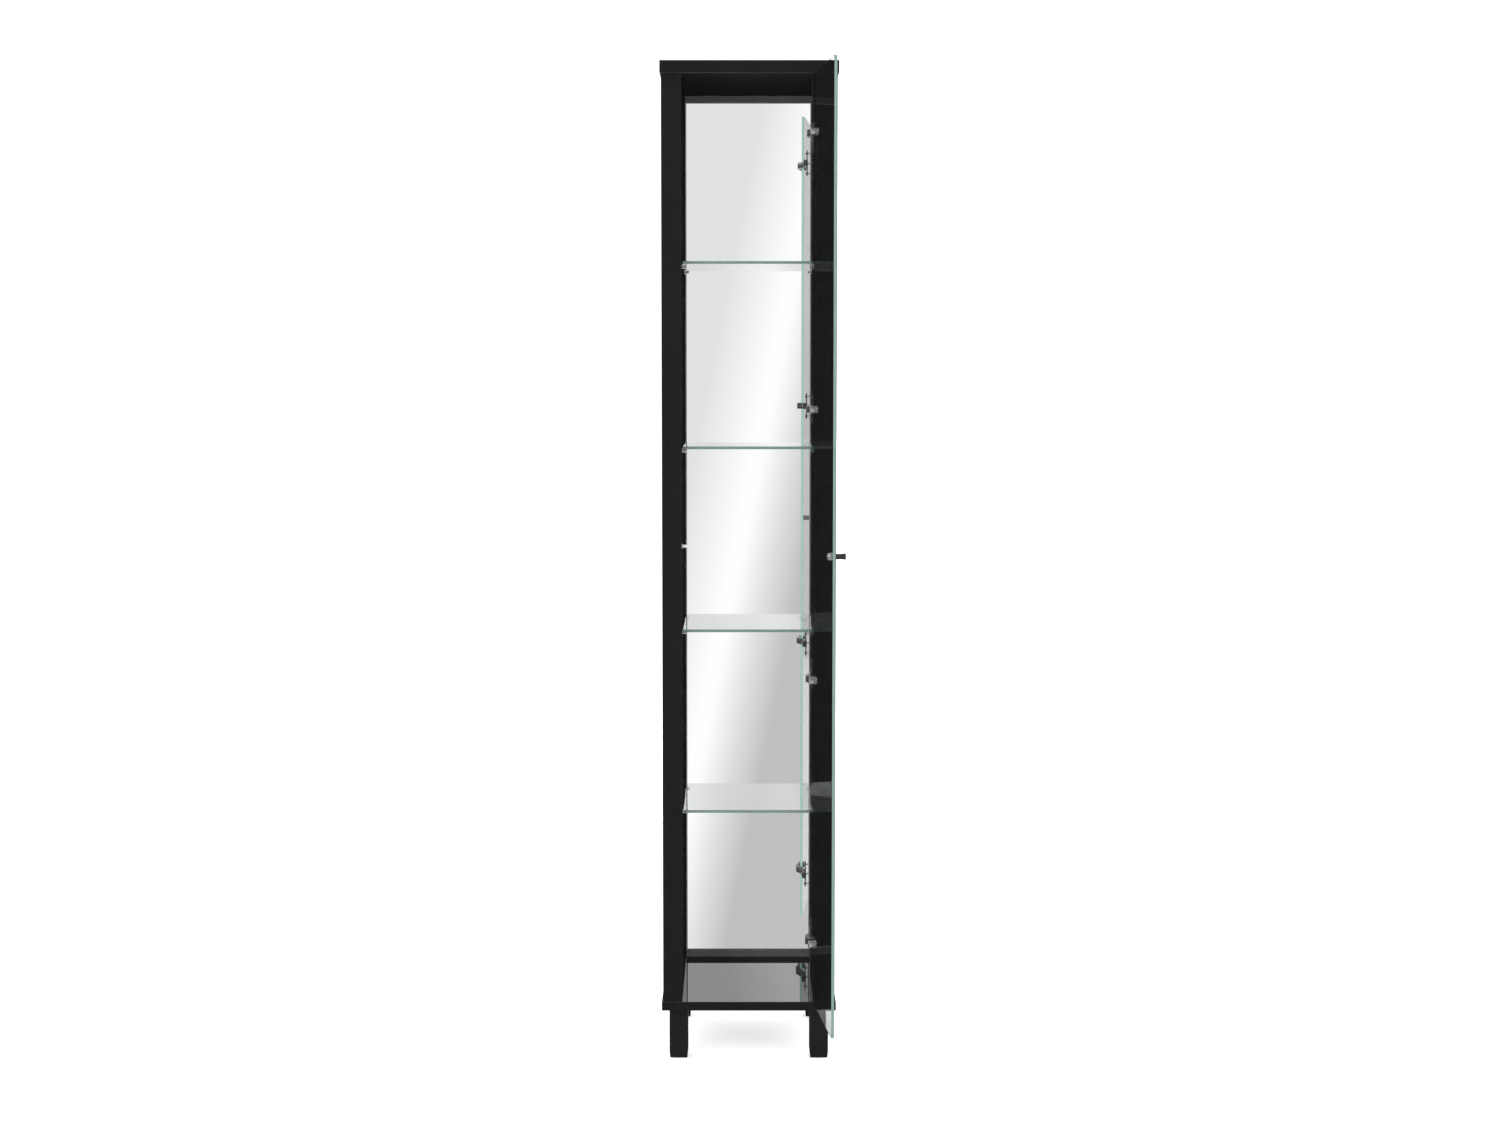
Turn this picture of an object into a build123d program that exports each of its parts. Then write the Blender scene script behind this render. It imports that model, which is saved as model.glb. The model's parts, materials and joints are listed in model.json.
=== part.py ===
from build123d import *
import os

# Glass display showcase. Millimetres, +Z up, X to the right, Y to the back.
# The origin is on the floor, at the middle of the cabinet's footprint.

# ---- driving dimensions ----
height = 1800
body_w = 312
body_d = 310
side_t = 35
board_w = 317
board_overhang = 2.5
top_t = 22
base_t = 16
leg_h = 94

leg_size = 34
leg_x = 128
leg_front_y = -127
leg_rear_y = 117
leg_taper_h = 12
leg_taper = 6
glide_d = 22
glide_t = 2
glide_pin_d = 3
glide_pin_l = 12
leg_bolt_d = 8
leg_bolt_l = 46
insert_d = 12
insert_l = 12

back_t = 4
rebate_w = 8
rebate_d = 6
mirror_t = 4
mirror_gap = 0.5
rail_h = 13
rail_t = 6

shelf_count = 4
shelf_w = 238
shelf_t = 5
shelf_front = -127
shelf_back = 120
shelf_first_z = 452.5
shelf_pitch = 331
shelf_corner_r = 2
pin_d = 5
pin_in_wall = 10
pin_out = 9
pin_y = (-97, 90)
sleeve_d = 7
sleeve_l = 8
sleeve_flat = 3.2

door_open = 97
pivot_x = 109
pivot_y = -146
glass_t = 5
glass_outer_v = -8
glass_near_u = 8
glass_far_u = -228
glass_gap_z = 2
glass_corner_r = 3

hinge_z = (219, 700, 1186, 1675)
hinge_plate_y = -80
plate_t = 2
plate_bar_w = 12
plate_bar_h = 52
plate_foot_w = 34
plate_foot_h = 16
plate_hole_z = 20
arm_t = 6
arm_left_x = 102.6
arm_right_x = 109.4
arm_web_y = -142.4
arm_left_turn_y = -122
arm_right_turn_y = -130
arm_bend_y = -102
arm_back_y = -64
ear_r = 2.6
ear_h = 3
tongue_h = 5
tongue_gap = 0.35
hinge_pin_d = 3
pin_clearance = 0.05
cup_u = -18
cup_d = 13
cup_depth = 7
cap_d = 12
cap_t = 2
stud_d = 5
stud_l = 9.5
glass_hole_d = 8

knob_u = -208
knob_z = 940
knob_l = 20
knob_end_d = 12
knob_waist_d = 9.5
knob_stud_d = 4
knob_stud_l = 16
washer_d = 10
washer_t = 0.5
knob_cap_d = 13
knob_cap_h = 6.5
knob_cap_rim = 2

catch_y = -144
catch_z = 941
catch_flange_d = 8
catch_flange_t = 2.5
catch_post_d = 4
catch_post_l = 7
catch_tip_d = 5.5

screw_d = 3.5
screw_head_d = 6.5
screw_head_t = 2
plate_screw_l = 16
arm_screw_d = 4
arm_screw_l = 20
carcass_screw_d = 5
carcass_screw_l = 50
carcass_head_d = 9
carcass_head_t = 4
dowel_d = 8
dowel_in_board = 10
dowel_in_side = 20
carcass_x = 138.5
carcass_screw_y = (-110, 110)
dowel_y = (-60, 60)
back_screw_x = 125
back_screw_rows = 6
back_screw_d = 3
back_screw_l = 18
back_head_t = 1.5

wall_plate_x = 142.5
wall_plate_z = 1720
wall_plate_w = 18
wall_plate_h = 60
wall_plate_t = 2
wall_hole_d = 5.5
wall_pocket_d = 12
wall_pocket_l = 10
wall_screw_z = 22

# ---- worked out from the driving dimensions ----
half_w = body_w / 2
half_d = body_d / 2
half_in = half_w - side_t
deck_z = leg_h + base_t
ceiling_z = height - top_t
side_h = ceiling_z - deck_z
front_y = -half_d
back_face_y = half_d - rebate_d
mirror_face_y = back_face_y - mirror_t
board_front = front_y - board_overhang
board_d = half_d - board_front
board_mid_y = (half_d + board_front) / 2
shelf_z = [shelf_first_z + n * shelf_pitch for n in range(shelf_count)]
legs = {
    "leg_front_left": (-leg_x, leg_front_y),
    "leg_front_right": (leg_x, leg_front_y),
    "leg_rear_left": (-leg_x, leg_rear_y),
    "leg_rear_right": (leg_x, leg_rear_y),
}
leg_points = list(legs.values())
glass_inner_v = glass_outer_v + glass_t
glass_low = deck_z + glass_gap_z
glass_h = ceiling_z - glass_gap_z - glass_low
glass_mid_u = (glass_near_u + glass_far_u) / 2
glass_w = glass_near_u - glass_far_u
ear_low = tongue_h / 2 + tongue_gap
arm_half_h = ear_low + ear_h
arm_face_x = half_in - plate_t - arm_t
back_screw_z = [deck_z + side_h * (n + 0.5) / back_screw_rows for n in range(back_screw_rows)]

os.makedirs("parts", exist_ok=True)


def save(builder, label):
    """Label a finished piece and write its STEP file."""
    builder.part.label = label
    export_step(builder.part, f"parts/{label}.step")


def wall_plane(side):
    """Inner face of a side wall: local x runs along side*Y, local y up, normal into the wall."""
    return Plane(origin=(side * half_in, 0, 0), x_dir=(0, side, 0), z_dir=(side, 0, 0))


def door_plane(z):
    """Level plane of the open door: u along the glass from the hinge axis, v towards its inner side."""
    turned = Plane.XY.rotated((0, 0, door_open))
    return Plane(origin=(pivot_x, pivot_y, z), x_dir=turned.x_dir, z_dir=(0, 0, 1))


def glass_plane(u, v, z):
    """Plane on the door at a depth v, normal towards the outer side, local y up."""
    level = door_plane(z)
    origin = level.from_local_coords(Vector(u, v, 0))
    return Plane(origin=origin, x_dir=level.x_dir, z_dir=-level.y_dir)


def back_plane(y):
    """Upright plane at a depth y, normal to the back: local x runs along -X, local y up."""
    return Plane(origin=(0, y, 0), x_dir=(-1, 0, 0), z_dir=(0, 1, 0))


# ---- boards of the carcass ----
carcass_screw_points = [(side * carcass_x, y) for side in (-1, 1) for y in carcass_screw_y]
dowel_points = [(side * carcass_x, y) for side in (-1, 1) for y in dowel_y]

with BuildPart() as top_board:
    with BuildSketch(Plane.XY.offset(ceiling_z)):
        with Locations((0, board_mid_y)):
            Rectangle(board_w, board_d)
    extrude(amount=top_t)
    chamfer(top_board.edges().group_by(Axis.Z)[-1], length=0.6)
    with BuildSketch(Plane.XY.offset(height)):
        with Locations(*carcass_screw_points):
            Circle(carcass_head_d / 2)
    extrude(amount=-carcass_head_t, mode=Mode.SUBTRACT)
    with BuildSketch(Plane.XY.offset(height)):
        with Locations(*carcass_screw_points):
            Circle(carcass_screw_d / 2)
    extrude(amount=-top_t, mode=Mode.SUBTRACT)
    with BuildSketch(Plane.XY.offset(ceiling_z)):
        with Locations(*dowel_points):
            Circle(dowel_d / 2)
    extrude(amount=dowel_in_board, mode=Mode.SUBTRACT)
save(top_board, "top_board")

with BuildPart() as base_board:
    with BuildSketch(Plane.XY.offset(leg_h)):
        with Locations((0, board_mid_y)):
            Rectangle(board_w, board_d)
    extrude(amount=base_t)
    with BuildSketch(Plane.XY.offset(leg_h)):
        with Locations(*carcass_screw_points):
            Circle(carcass_head_d / 2)
    extrude(amount=carcass_head_t, mode=Mode.SUBTRACT)
    with BuildSketch(Plane.XY.offset(leg_h)):
        with Locations(*carcass_screw_points):
            Circle(carcass_screw_d / 2)
    extrude(amount=base_t, mode=Mode.SUBTRACT)
    with BuildSketch(Plane.XY.offset(deck_z)):
        with Locations(*dowel_points):
            Circle(dowel_d / 2)
    extrude(amount=-dowel_in_board, mode=Mode.SUBTRACT)
    with BuildSketch(Plane.XY.offset(leg_h)):
        with Locations(*leg_points):
            Circle(insert_d / 2)
    extrude(amount=insert_l, mode=Mode.SUBTRACT)
save(base_board, "base_board")

for side, name in ((-1, "left_side_panel"), (1, "right_side_panel")):
    section = [
        (half_in, front_y),
        (half_w, front_y),
        (half_w, half_d),
        (half_in + rebate_w, half_d),
        (half_in + rebate_w, back_face_y),
        (half_in, back_face_y),
    ]
    with BuildPart() as side_panel:
        with BuildSketch(Plane.XY.offset(deck_z)):
            with BuildLine():
                Polyline(*[(side * x, y) for x, y in section], close=True)
            make_face()
        extrude(amount=side_h)
        for z, depth in ((ceiling_z, -1), (deck_z, 1)):
            with BuildSketch(Plane.XY.offset(z)):
                with Locations(*[(side * carcass_x, y) for y in carcass_screw_y]):
                    Circle(carcass_screw_d / 2)
            thread_l = carcass_screw_l - (top_t if depth < 0 else base_t)
            extrude(amount=depth * thread_l, mode=Mode.SUBTRACT)
            with BuildSketch(Plane.XY.offset(z)):
                with Locations(*[(side * carcass_x, y) for y in dowel_y]):
                    Circle(dowel_d / 2)
            extrude(amount=depth * dowel_in_side, mode=Mode.SUBTRACT)
        pin_z = [z - sleeve_flat for z in shelf_z]
        with BuildSketch(wall_plane(side)):
            with Locations(*[(side * y, z) for y in pin_y for z in pin_z]):
                Circle(pin_d / 2)
        extrude(amount=pin_in_wall, mode=Mode.SUBTRACT)
        with BuildSketch(back_plane(back_face_y)):
            with Locations(*[(-side * back_screw_x, z) for z in back_screw_z]):
                Circle(back_screw_d / 2)
        extrude(amount=-(back_screw_l - back_t), mode=Mode.SUBTRACT)
        with BuildSketch(back_plane(half_d)):
            with Locations((-side * wall_plate_x, wall_plate_z)):
                Rectangle(wall_plate_w, wall_plate_h)
        extrude(amount=-wall_plate_t, mode=Mode.SUBTRACT)
        with BuildSketch(back_plane(half_d - wall_plate_t)):
            with Locations((-side * wall_plate_x, wall_plate_z)):
                Circle(wall_pocket_d / 2)
        extrude(amount=-wall_pocket_l, mode=Mode.SUBTRACT)
        with BuildSketch(back_plane(half_d - wall_plate_t)):
            with Locations(
                *[(-side * wall_plate_x, wall_plate_z + dz) for dz in (-wall_screw_z, wall_screw_z)]
            ):
                Circle(screw_d / 2)
        extrude(amount=-plate_screw_l, mode=Mode.SUBTRACT)
        if side > 0:
            with BuildSketch(wall_plane(side)):
                with Locations(*[
                    (hinge_plate_y, z + dz) for z in hinge_z for dz in (-plate_hole_z, plate_hole_z)
                ]):
                    Circle(screw_d / 2)
            extrude(amount=plate_screw_l - plate_t, mode=Mode.SUBTRACT)
            with BuildSketch(wall_plane(side)):
                with Locations(*[(hinge_plate_y, z) for z in hinge_z]):
                    Circle(arm_screw_d / 2)
            extrude(amount=arm_screw_l - plate_t - arm_t, mode=Mode.SUBTRACT)
        else:
            with BuildSketch(wall_plane(side)):
                with Locations((side * catch_y, catch_z)):
                    Circle(catch_post_d / 2)
            extrude(amount=pin_in_wall, mode=Mode.SUBTRACT)
    save(side_panel, name)

with BuildPart() as carcass_screws:
    for z, up in ((height, -1), (leg_h, 1)):
        with BuildSketch(Plane.XY.offset(z)):
            with Locations(*carcass_screw_points):
                Circle(carcass_head_d / 2)
        extrude(amount=up * carcass_head_t)
        with BuildSketch(Plane.XY.offset(z)):
            with Locations(*carcass_screw_points):
                Circle(carcass_screw_d / 2)
        extrude(amount=up * carcass_screw_l)
save(carcass_screws, "carcass_screws")

with BuildPart() as carcass_dowels:
    for z, up in ((ceiling_z, 1), (deck_z, -1)):
        with BuildSketch(Plane.XY.offset(z + up * dowel_in_board)):
            with Locations(*dowel_points):
                Circle(dowel_d / 2)
        extrude(amount=-up * (dowel_in_board + dowel_in_side))
save(carcass_dowels, "carcass_dowels")

# ---- back: panel in the rebates, mirror in front of it, two rails over its ends ----
with BuildPart() as back_panel:
    with BuildSketch(back_plane(back_face_y)):
        with Locations((0, (deck_z + ceiling_z) / 2)):
            Rectangle(2 * (half_in + rebate_w - mirror_gap), side_h)
        with Locations(*[(side * back_screw_x, z) for side in (-1, 1) for z in back_screw_z]):
            Circle(back_screw_d / 2, mode=Mode.SUBTRACT)
    extrude(amount=back_t)
save(back_panel, "back_panel")

with BuildPart() as back_panel_screws:
    with BuildSketch(back_plane(back_face_y + back_t)):
        with Locations(*[(side * back_screw_x, z) for side in (-1, 1) for z in back_screw_z]):
            Circle(screw_head_d / 2)
    extrude(amount=back_head_t)
    with BuildSketch(back_plane(back_face_y + back_t)):
        with Locations(*[(side * back_screw_x, z) for side in (-1, 1) for z in back_screw_z]):
            Circle(back_screw_d / 2)
    extrude(amount=-back_screw_l)
save(back_panel_screws, "back_panel_screws")

with BuildPart() as mirror:
    with BuildSketch(back_plane(mirror_face_y)):
        with Locations((0, (deck_z + ceiling_z) / 2)):
            Rectangle(2 * (half_in - mirror_gap), side_h - 2 * mirror_gap)
    extrude(amount=mirror_t)
save(mirror, "mirror")

for name, mid_z in (("mirror_bottom_rail", deck_z + rail_h / 2), ("mirror_top_rail", ceiling_z - rail_h / 2)):
    with BuildPart() as rail:
        with BuildSketch(back_plane(mirror_face_y)):
            with Locations((0, mid_z)):
                Rectangle(2 * half_in, rail_h)
        extrude(amount=-rail_t)
    save(rail, name)

# ---- legs, with a bolt up into a threaded insert and a glide underneath ----
for name, place in legs.items():
    with BuildPart() as leg:
        with BuildSketch(Plane.XY.offset(leg_h)):
            with Locations(place):
                Rectangle(leg_size, leg_size)
        extrude(amount=-(leg_h - glide_t - leg_taper_h))
        extrude(leg.faces().sort_by(Axis.Z)[0], amount=leg_taper_h, taper=leg_taper)
        chamfer(leg.edges().filter_by(Axis.Z), length=0.8)
        with BuildSketch(Plane.XY.offset(leg_h)):
            with Locations(place):
                Circle(leg_bolt_d / 2)
        extrude(amount=-(leg_bolt_l - insert_l), mode=Mode.SUBTRACT)
        with BuildSketch(Plane.XY.offset(glide_t)):
            with Locations(place):
                Circle(glide_pin_d / 2)
        extrude(amount=glide_pin_l, mode=Mode.SUBTRACT)
    save(leg, name)

with BuildPart() as leg_bolts:
    with BuildSketch(Plane.XY.offset(leg_h + insert_l)):
        with Locations(*leg_points):
            Circle(leg_bolt_d / 2)
    extrude(amount=-leg_bolt_l)
save(leg_bolts, "leg_bolts")

with BuildPart() as leg_inserts:
    with BuildSketch(Plane.XY.offset(leg_h)):
        with Locations(*leg_points):
            Circle(insert_d / 2)
            Circle(leg_bolt_d / 2, mode=Mode.SUBTRACT)
    extrude(amount=insert_l)
save(leg_inserts, "leg_inserts")

with BuildPart() as foot_glides:
    with BuildSketch():
        with Locations(*leg_points):
            Circle(glide_d / 2)
    extrude(amount=glide_t)
    with BuildSketch(Plane.XY.offset(glide_t)):
        with Locations(*leg_points):
            Circle(glide_pin_d / 2)
    extrude(amount=glide_pin_l)
save(foot_glides, "foot_glides")

# ---- shelves on pins with clear sleeves ----
for number, low_z in enumerate(shelf_z, start=1):
    with BuildPart() as shelf:
        with BuildSketch(Plane.XY.offset(low_z)):
            with Locations((0, (shelf_front + shelf_back) / 2)):
                RectangleRounded(shelf_w, shelf_back - shelf_front, shelf_corner_r)
        extrude(amount=shelf_t)
    save(shelf, f"shelf_{number}")

    with BuildPart() as shelf_pins:
        for side in (-1, 1):
            with BuildSketch(wall_plane(side)):
                with Locations(*[(side * y, low_z - sleeve_flat) for y in pin_y]):
                    Circle(pin_d / 2)
            extrude(amount=pin_in_wall)
            with BuildSketch(wall_plane(side)):
                with Locations(*[(side * y, low_z - sleeve_flat) for y in pin_y]):
                    Circle(pin_d / 2)
            extrude(amount=-pin_out)
    save(shelf_pins, f"shelf_{number}_pins")

with BuildPart() as shelf_pin_sleeves:
    for side in (-1, 1):
        with BuildSketch(wall_plane(side)):
            for low_z in shelf_z:
                with Locations(*[(side * y, low_z - sleeve_flat) for y in pin_y]):
                    Circle(sleeve_d / 2)
                    Circle(pin_d / 2, mode=Mode.SUBTRACT)
                with Locations(*[(side * y, low_z + sleeve_d / 2) for y in pin_y]):
                    Rectangle(2 * sleeve_d, sleeve_d, mode=Mode.SUBTRACT)
        extrude(amount=-sleeve_l)
save(shelf_pin_sleeves, "shelf_pin_sleeves")

# ---- door glass, drilled for its knob and hinges ----
with BuildPart() as door_glass:
    with BuildSketch(glass_plane(0, glass_inner_v, 0)):
        with Locations((glass_mid_u, glass_low + glass_h / 2)):
            RectangleRounded(glass_w, glass_h, glass_corner_r)
        with Locations(*[(cup_u, z) for z in hinge_z]):
            Circle(glass_hole_d / 2, mode=Mode.SUBTRACT)
        with Locations((knob_u, knob_z)):
            Circle(knob_stud_d / 2, mode=Mode.SUBTRACT)
    extrude(amount=glass_t)
save(door_glass, "door_glass")

with BuildPart() as knob_washer:
    with BuildSketch(glass_plane(knob_u, glass_outer_v, knob_z)):
        Circle(washer_d / 2)
        Circle(knob_stud_d / 2, mode=Mode.SUBTRACT)
    extrude(amount=washer_t)
save(knob_washer, "knob_washer")

knob_base = glass_plane(knob_u, glass_outer_v - washer_t, knob_z)
with BuildPart() as door_knob:
    with BuildSketch(Plane(origin=knob_base.origin, x_dir=knob_base.x_dir, z_dir=(0, 0, -1))):
        with BuildLine():
            Line((0, 0), (knob_end_d / 2 - 0.5, 0))
            Line((knob_end_d / 2 - 0.5, 0), (knob_end_d / 2, 0.5))
            ThreePointArc((knob_end_d / 2, 0.5), (knob_waist_d / 2, knob_l / 2), (knob_end_d / 2, knob_l - 1))
            Line((knob_end_d / 2, knob_l - 1), (knob_end_d / 2 - 1, knob_l))
            Line((knob_end_d / 2 - 1, knob_l), (0, knob_l))
            Line((0, knob_l), (0, 0))
        make_face()
    revolve(axis=Axis(knob_base.origin, knob_base.z_dir))
    with BuildSketch(knob_base):
        Circle(knob_stud_d / 2)
    extrude(amount=knob_stud_l - glass_t - washer_t, mode=Mode.SUBTRACT)
save(door_knob, "door_knob")

with BuildPart() as knob_cap:
    with BuildSketch(glass_plane(knob_u, glass_inner_v, knob_z)):
        Circle(knob_cap_d / 2)
    extrude(amount=-knob_cap_h)
    dome_face = knob_cap.faces().sort_by(Axis(knob_base.origin, knob_base.z_dir))[0]
    fillet(dome_face.edges(), radius=knob_cap_h - knob_cap_rim)
    with BuildSketch(glass_plane(knob_u, glass_inner_v, knob_z)):
        Circle(knob_stud_d / 2)
    extrude(amount=knob_stud_l)
save(knob_cap, "knob_cap")

# ---- door catch on the left wall ----
with BuildPart() as door_catch:
    with BuildSketch(wall_plane(-1)):
        with Locations((-catch_y, catch_z)):
            Circle(catch_flange_d / 2)
    extrude(amount=-catch_flange_t)
    with BuildSketch(wall_plane(-1)):
        with Locations((-catch_y, catch_z)):
            Circle(catch_post_d / 2)
    extrude(amount=-(catch_flange_t + catch_post_l))
    with BuildSketch(wall_plane(-1)):
        with Locations((-catch_y, catch_z)):
            Circle(catch_post_d / 2)
    extrude(amount=pin_in_wall)
save(door_catch, "door_catch")

with BuildPart() as catch_tip:
    with BuildSketch(wall_plane(-1).offset(-catch_flange_t)):
        with Locations((-catch_y, catch_z)):
            Circle(catch_tip_d / 2)
            Circle(catch_post_d / 2, mode=Mode.SUBTRACT)
    extrude(amount=-catch_post_l)
save(catch_tip, "catch_tip")

# ---- hinges: wall plate, cranked arm with a forked end, pin, cup and cap on the glass ----
for number, z in enumerate(hinge_z, start=1):
    with BuildPart() as hinge_plate:
        with BuildSketch(wall_plane(1)):
            with Locations((hinge_plate_y, z)):
                Rectangle(plate_bar_w, plate_bar_h)
                Rectangle(plate_foot_w, plate_foot_h)
                Circle(arm_screw_d / 2, mode=Mode.SUBTRACT)
            with Locations(*[(hinge_plate_y, z + dz) for dz in (-plate_hole_z, plate_hole_z)]):
                Circle(screw_d / 2, mode=Mode.SUBTRACT)
        extrude(amount=-plate_t)
        fillet(hinge_plate.edges().filter_by(Axis.X).filter_by(GeomType.LINE), radius=2)
    save(hinge_plate, f"hinge_{number}_plate")

    wall_side = half_in - plate_t
    with BuildPart() as hinge_arm:
        with BuildSketch(Plane.XY.offset(z - arm_half_h)):
            with BuildLine():
                Polyline(
                    (wall_side, arm_back_y),
                    (arm_face_x, arm_back_y),
                    (arm_face_x, arm_bend_y),
                    (arm_left_x, arm_left_turn_y),
                    (arm_left_x, arm_web_y),
                    (arm_right_x, arm_web_y),
                    (arm_right_x, arm_right_turn_y),
                    (wall_side, arm_bend_y),
                    close=True,
                )
            make_face()
        extrude(amount=2 * arm_half_h)
        for ear_z in (z - arm_half_h, z + ear_low):
            with BuildSketch(Plane.XY.offset(ear_z)):
                with Locations((pivot_x, pivot_y)):
                    Circle(ear_r)
                with Locations(((pivot_x - ear_r + arm_right_x) / 2, (pivot_y + arm_web_y) / 2)):
                    Rectangle(arm_right_x - pivot_x + ear_r, arm_web_y - pivot_y)
                with Locations((pivot_x, pivot_y)):
                    Circle(hinge_pin_d / 2, mode=Mode.SUBTRACT)
            extrude(amount=ear_h)
        with BuildSketch(wall_plane(1)):
            with Locations((hinge_plate_y, z)):
                Circle(arm_screw_d / 2)
        extrude(amount=-(plate_t + arm_t), mode=Mode.SUBTRACT)
    save(hinge_arm, f"hinge_{number}_arm")

    with BuildPart() as hinge_pin:
        with BuildSketch(Plane.XY.offset(z - arm_half_h)):
            with Locations((pivot_x, pivot_y)):
                Circle(hinge_pin_d / 2)
        extrude(amount=2 * arm_half_h)
    save(hinge_pin, f"hinge_{number}_pin")

    with BuildPart() as hinge_cup:
        with BuildSketch(glass_plane(cup_u, glass_inner_v, z)):
            Circle(cup_d / 2)
        extrude(amount=-cup_depth)
        with BuildSketch(door_plane(z - tongue_h / 2)):
            Circle(ear_r)
            with Locations((cup_u / 2, 0)):
                Rectangle(-cup_u, tongue_h)
            Circle(hinge_pin_d / 2 + pin_clearance, mode=Mode.SUBTRACT)
        extrude(amount=tongue_h)
        with BuildSketch(glass_plane(cup_u, glass_inner_v, z)):
            Circle(stud_d / 2)
        extrude(amount=-(stud_l - glass_t), mode=Mode.SUBTRACT)
    save(hinge_cup, f"hinge_{number}_cup")

    with BuildPart() as hinge_cap:
        with BuildSketch(glass_plane(cup_u, glass_outer_v, z)):
            Circle(cap_d / 2)
        extrude(amount=cap_t)
        with BuildSketch(glass_plane(cup_u, glass_outer_v, z)):
            Circle(stud_d / 2)
        extrude(amount=-stud_l)
    save(hinge_cap, f"hinge_{number}_cap")

with BuildPart() as hinge_glass_bushes:
    with BuildSketch(glass_plane(0, glass_inner_v, 0)):
        with Locations(*[(cup_u, z) for z in hinge_z]):
            Circle(glass_hole_d / 2)
            Circle(stud_d / 2, mode=Mode.SUBTRACT)
    extrude(amount=glass_t)
save(hinge_glass_bushes, "hinge_glass_bushes")

with BuildPart() as hinge_plate_screws:
    screw_points = [(hinge_plate_y, z + dz) for z in hinge_z for dz in (-plate_hole_z, plate_hole_z)]
    with BuildSketch(wall_plane(1).offset(-plate_t)):
        with Locations(*screw_points):
            Circle(screw_head_d / 2)
    extrude(amount=-screw_head_t)
    with BuildSketch(wall_plane(1).offset(-plate_t)):
        with Locations(*screw_points):
            Circle(screw_d / 2)
    extrude(amount=plate_screw_l)
save(hinge_plate_screws, "hinge_plate_screws")

with BuildPart() as hinge_arm_screws:
    with BuildSketch(wall_plane(1).offset(-(plate_t + arm_t))):
        with Locations(*[(hinge_plate_y, z) for z in hinge_z]):
            Circle(screw_head_d / 2)
    extrude(amount=-screw_head_t)
    with BuildSketch(wall_plane(1).offset(-(plate_t + arm_t))):
        with Locations(*[(hinge_plate_y, z) for z in hinge_z]):
            Circle(arm_screw_d / 2)
    extrude(amount=arm_screw_l)
save(hinge_arm_screws, "hinge_arm_screws")

# ---- wall fixing plates, let into the rear edges of the sides ----
with BuildPart() as wall_plates:
    with BuildSketch(back_plane(half_d - wall_plate_t)):
        with Locations(*[(side * wall_plate_x, wall_plate_z) for side in (-1, 1)]):
            Rectangle(wall_plate_w, wall_plate_h)
            Circle(wall_hole_d / 2, mode=Mode.SUBTRACT)
        with Locations(*[
            (side * wall_plate_x, wall_plate_z + dz)
            for side in (-1, 1)
            for dz in (-wall_screw_z, wall_screw_z)
        ]):
            Circle(screw_d / 2, mode=Mode.SUBTRACT)
    extrude(amount=wall_plate_t)
save(wall_plates, "wall_plates")

with BuildPart() as wall_plate_screws:
    with BuildSketch(back_plane(half_d)):
        with Locations(*[
            (side * wall_plate_x, wall_plate_z + dz)
            for side in (-1, 1)
            for dz in (-wall_screw_z, wall_screw_z)
        ]):
            Circle(screw_d / 2)
    extrude(amount=-plate_screw_l)
save(wall_plate_screws, "wall_plate_screws")
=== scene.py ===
import json
import math

import bmesh
import bpy
from mathutils import Matrix, Vector


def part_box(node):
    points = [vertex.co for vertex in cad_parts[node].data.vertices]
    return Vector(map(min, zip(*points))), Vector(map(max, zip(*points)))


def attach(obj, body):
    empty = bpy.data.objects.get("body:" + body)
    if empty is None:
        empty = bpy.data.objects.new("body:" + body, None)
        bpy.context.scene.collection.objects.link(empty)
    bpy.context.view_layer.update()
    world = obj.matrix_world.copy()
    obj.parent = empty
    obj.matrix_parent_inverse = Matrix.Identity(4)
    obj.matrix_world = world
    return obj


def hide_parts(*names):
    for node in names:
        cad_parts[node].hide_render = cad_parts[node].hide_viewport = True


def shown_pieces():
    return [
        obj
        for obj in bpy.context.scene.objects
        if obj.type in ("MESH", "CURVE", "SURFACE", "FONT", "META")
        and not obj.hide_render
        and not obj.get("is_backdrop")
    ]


bl_info = {
    "name": "Glass Display Showcase",
    "version": (1, 0, 0),
    "blender": (4, 5, 0),
    "location": "View3D > Sidebar > Showcase",
    "description": "Builds the visible pieces of a tall glass display showcase round its packed frame",
    "category": "Add Mesh",
}

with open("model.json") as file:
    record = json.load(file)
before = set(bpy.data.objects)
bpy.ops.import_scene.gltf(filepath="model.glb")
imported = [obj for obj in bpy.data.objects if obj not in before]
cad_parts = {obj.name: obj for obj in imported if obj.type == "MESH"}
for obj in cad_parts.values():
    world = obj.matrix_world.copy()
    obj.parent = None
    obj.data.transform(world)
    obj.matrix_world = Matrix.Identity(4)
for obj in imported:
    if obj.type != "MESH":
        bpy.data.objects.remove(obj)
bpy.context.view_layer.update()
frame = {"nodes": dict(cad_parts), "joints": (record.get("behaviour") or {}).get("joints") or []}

# ---- places read from the frame, in metres ----
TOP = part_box("top_board")
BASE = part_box("base_board")
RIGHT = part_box("right_side_panel")
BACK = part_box("back_panel")
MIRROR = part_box("mirror")
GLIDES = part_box("foot_glides")
HALF_IN = RIGHT[0].x
HALF_OUT = RIGHT[1].x
FRONT_Y = RIGHT[0].y
REAR_Y = RIGHT[1].y
SIDES = (-1, 1)
SHELVES = [f"shelf_{n}" for n in range(1, 5)]
HINGES = [f"hinge_{n}" for n in range(1, 5)]
LEGS = ["leg_front_left", "leg_front_right", "leg_rear_left", "leg_rear_right"]

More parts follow.
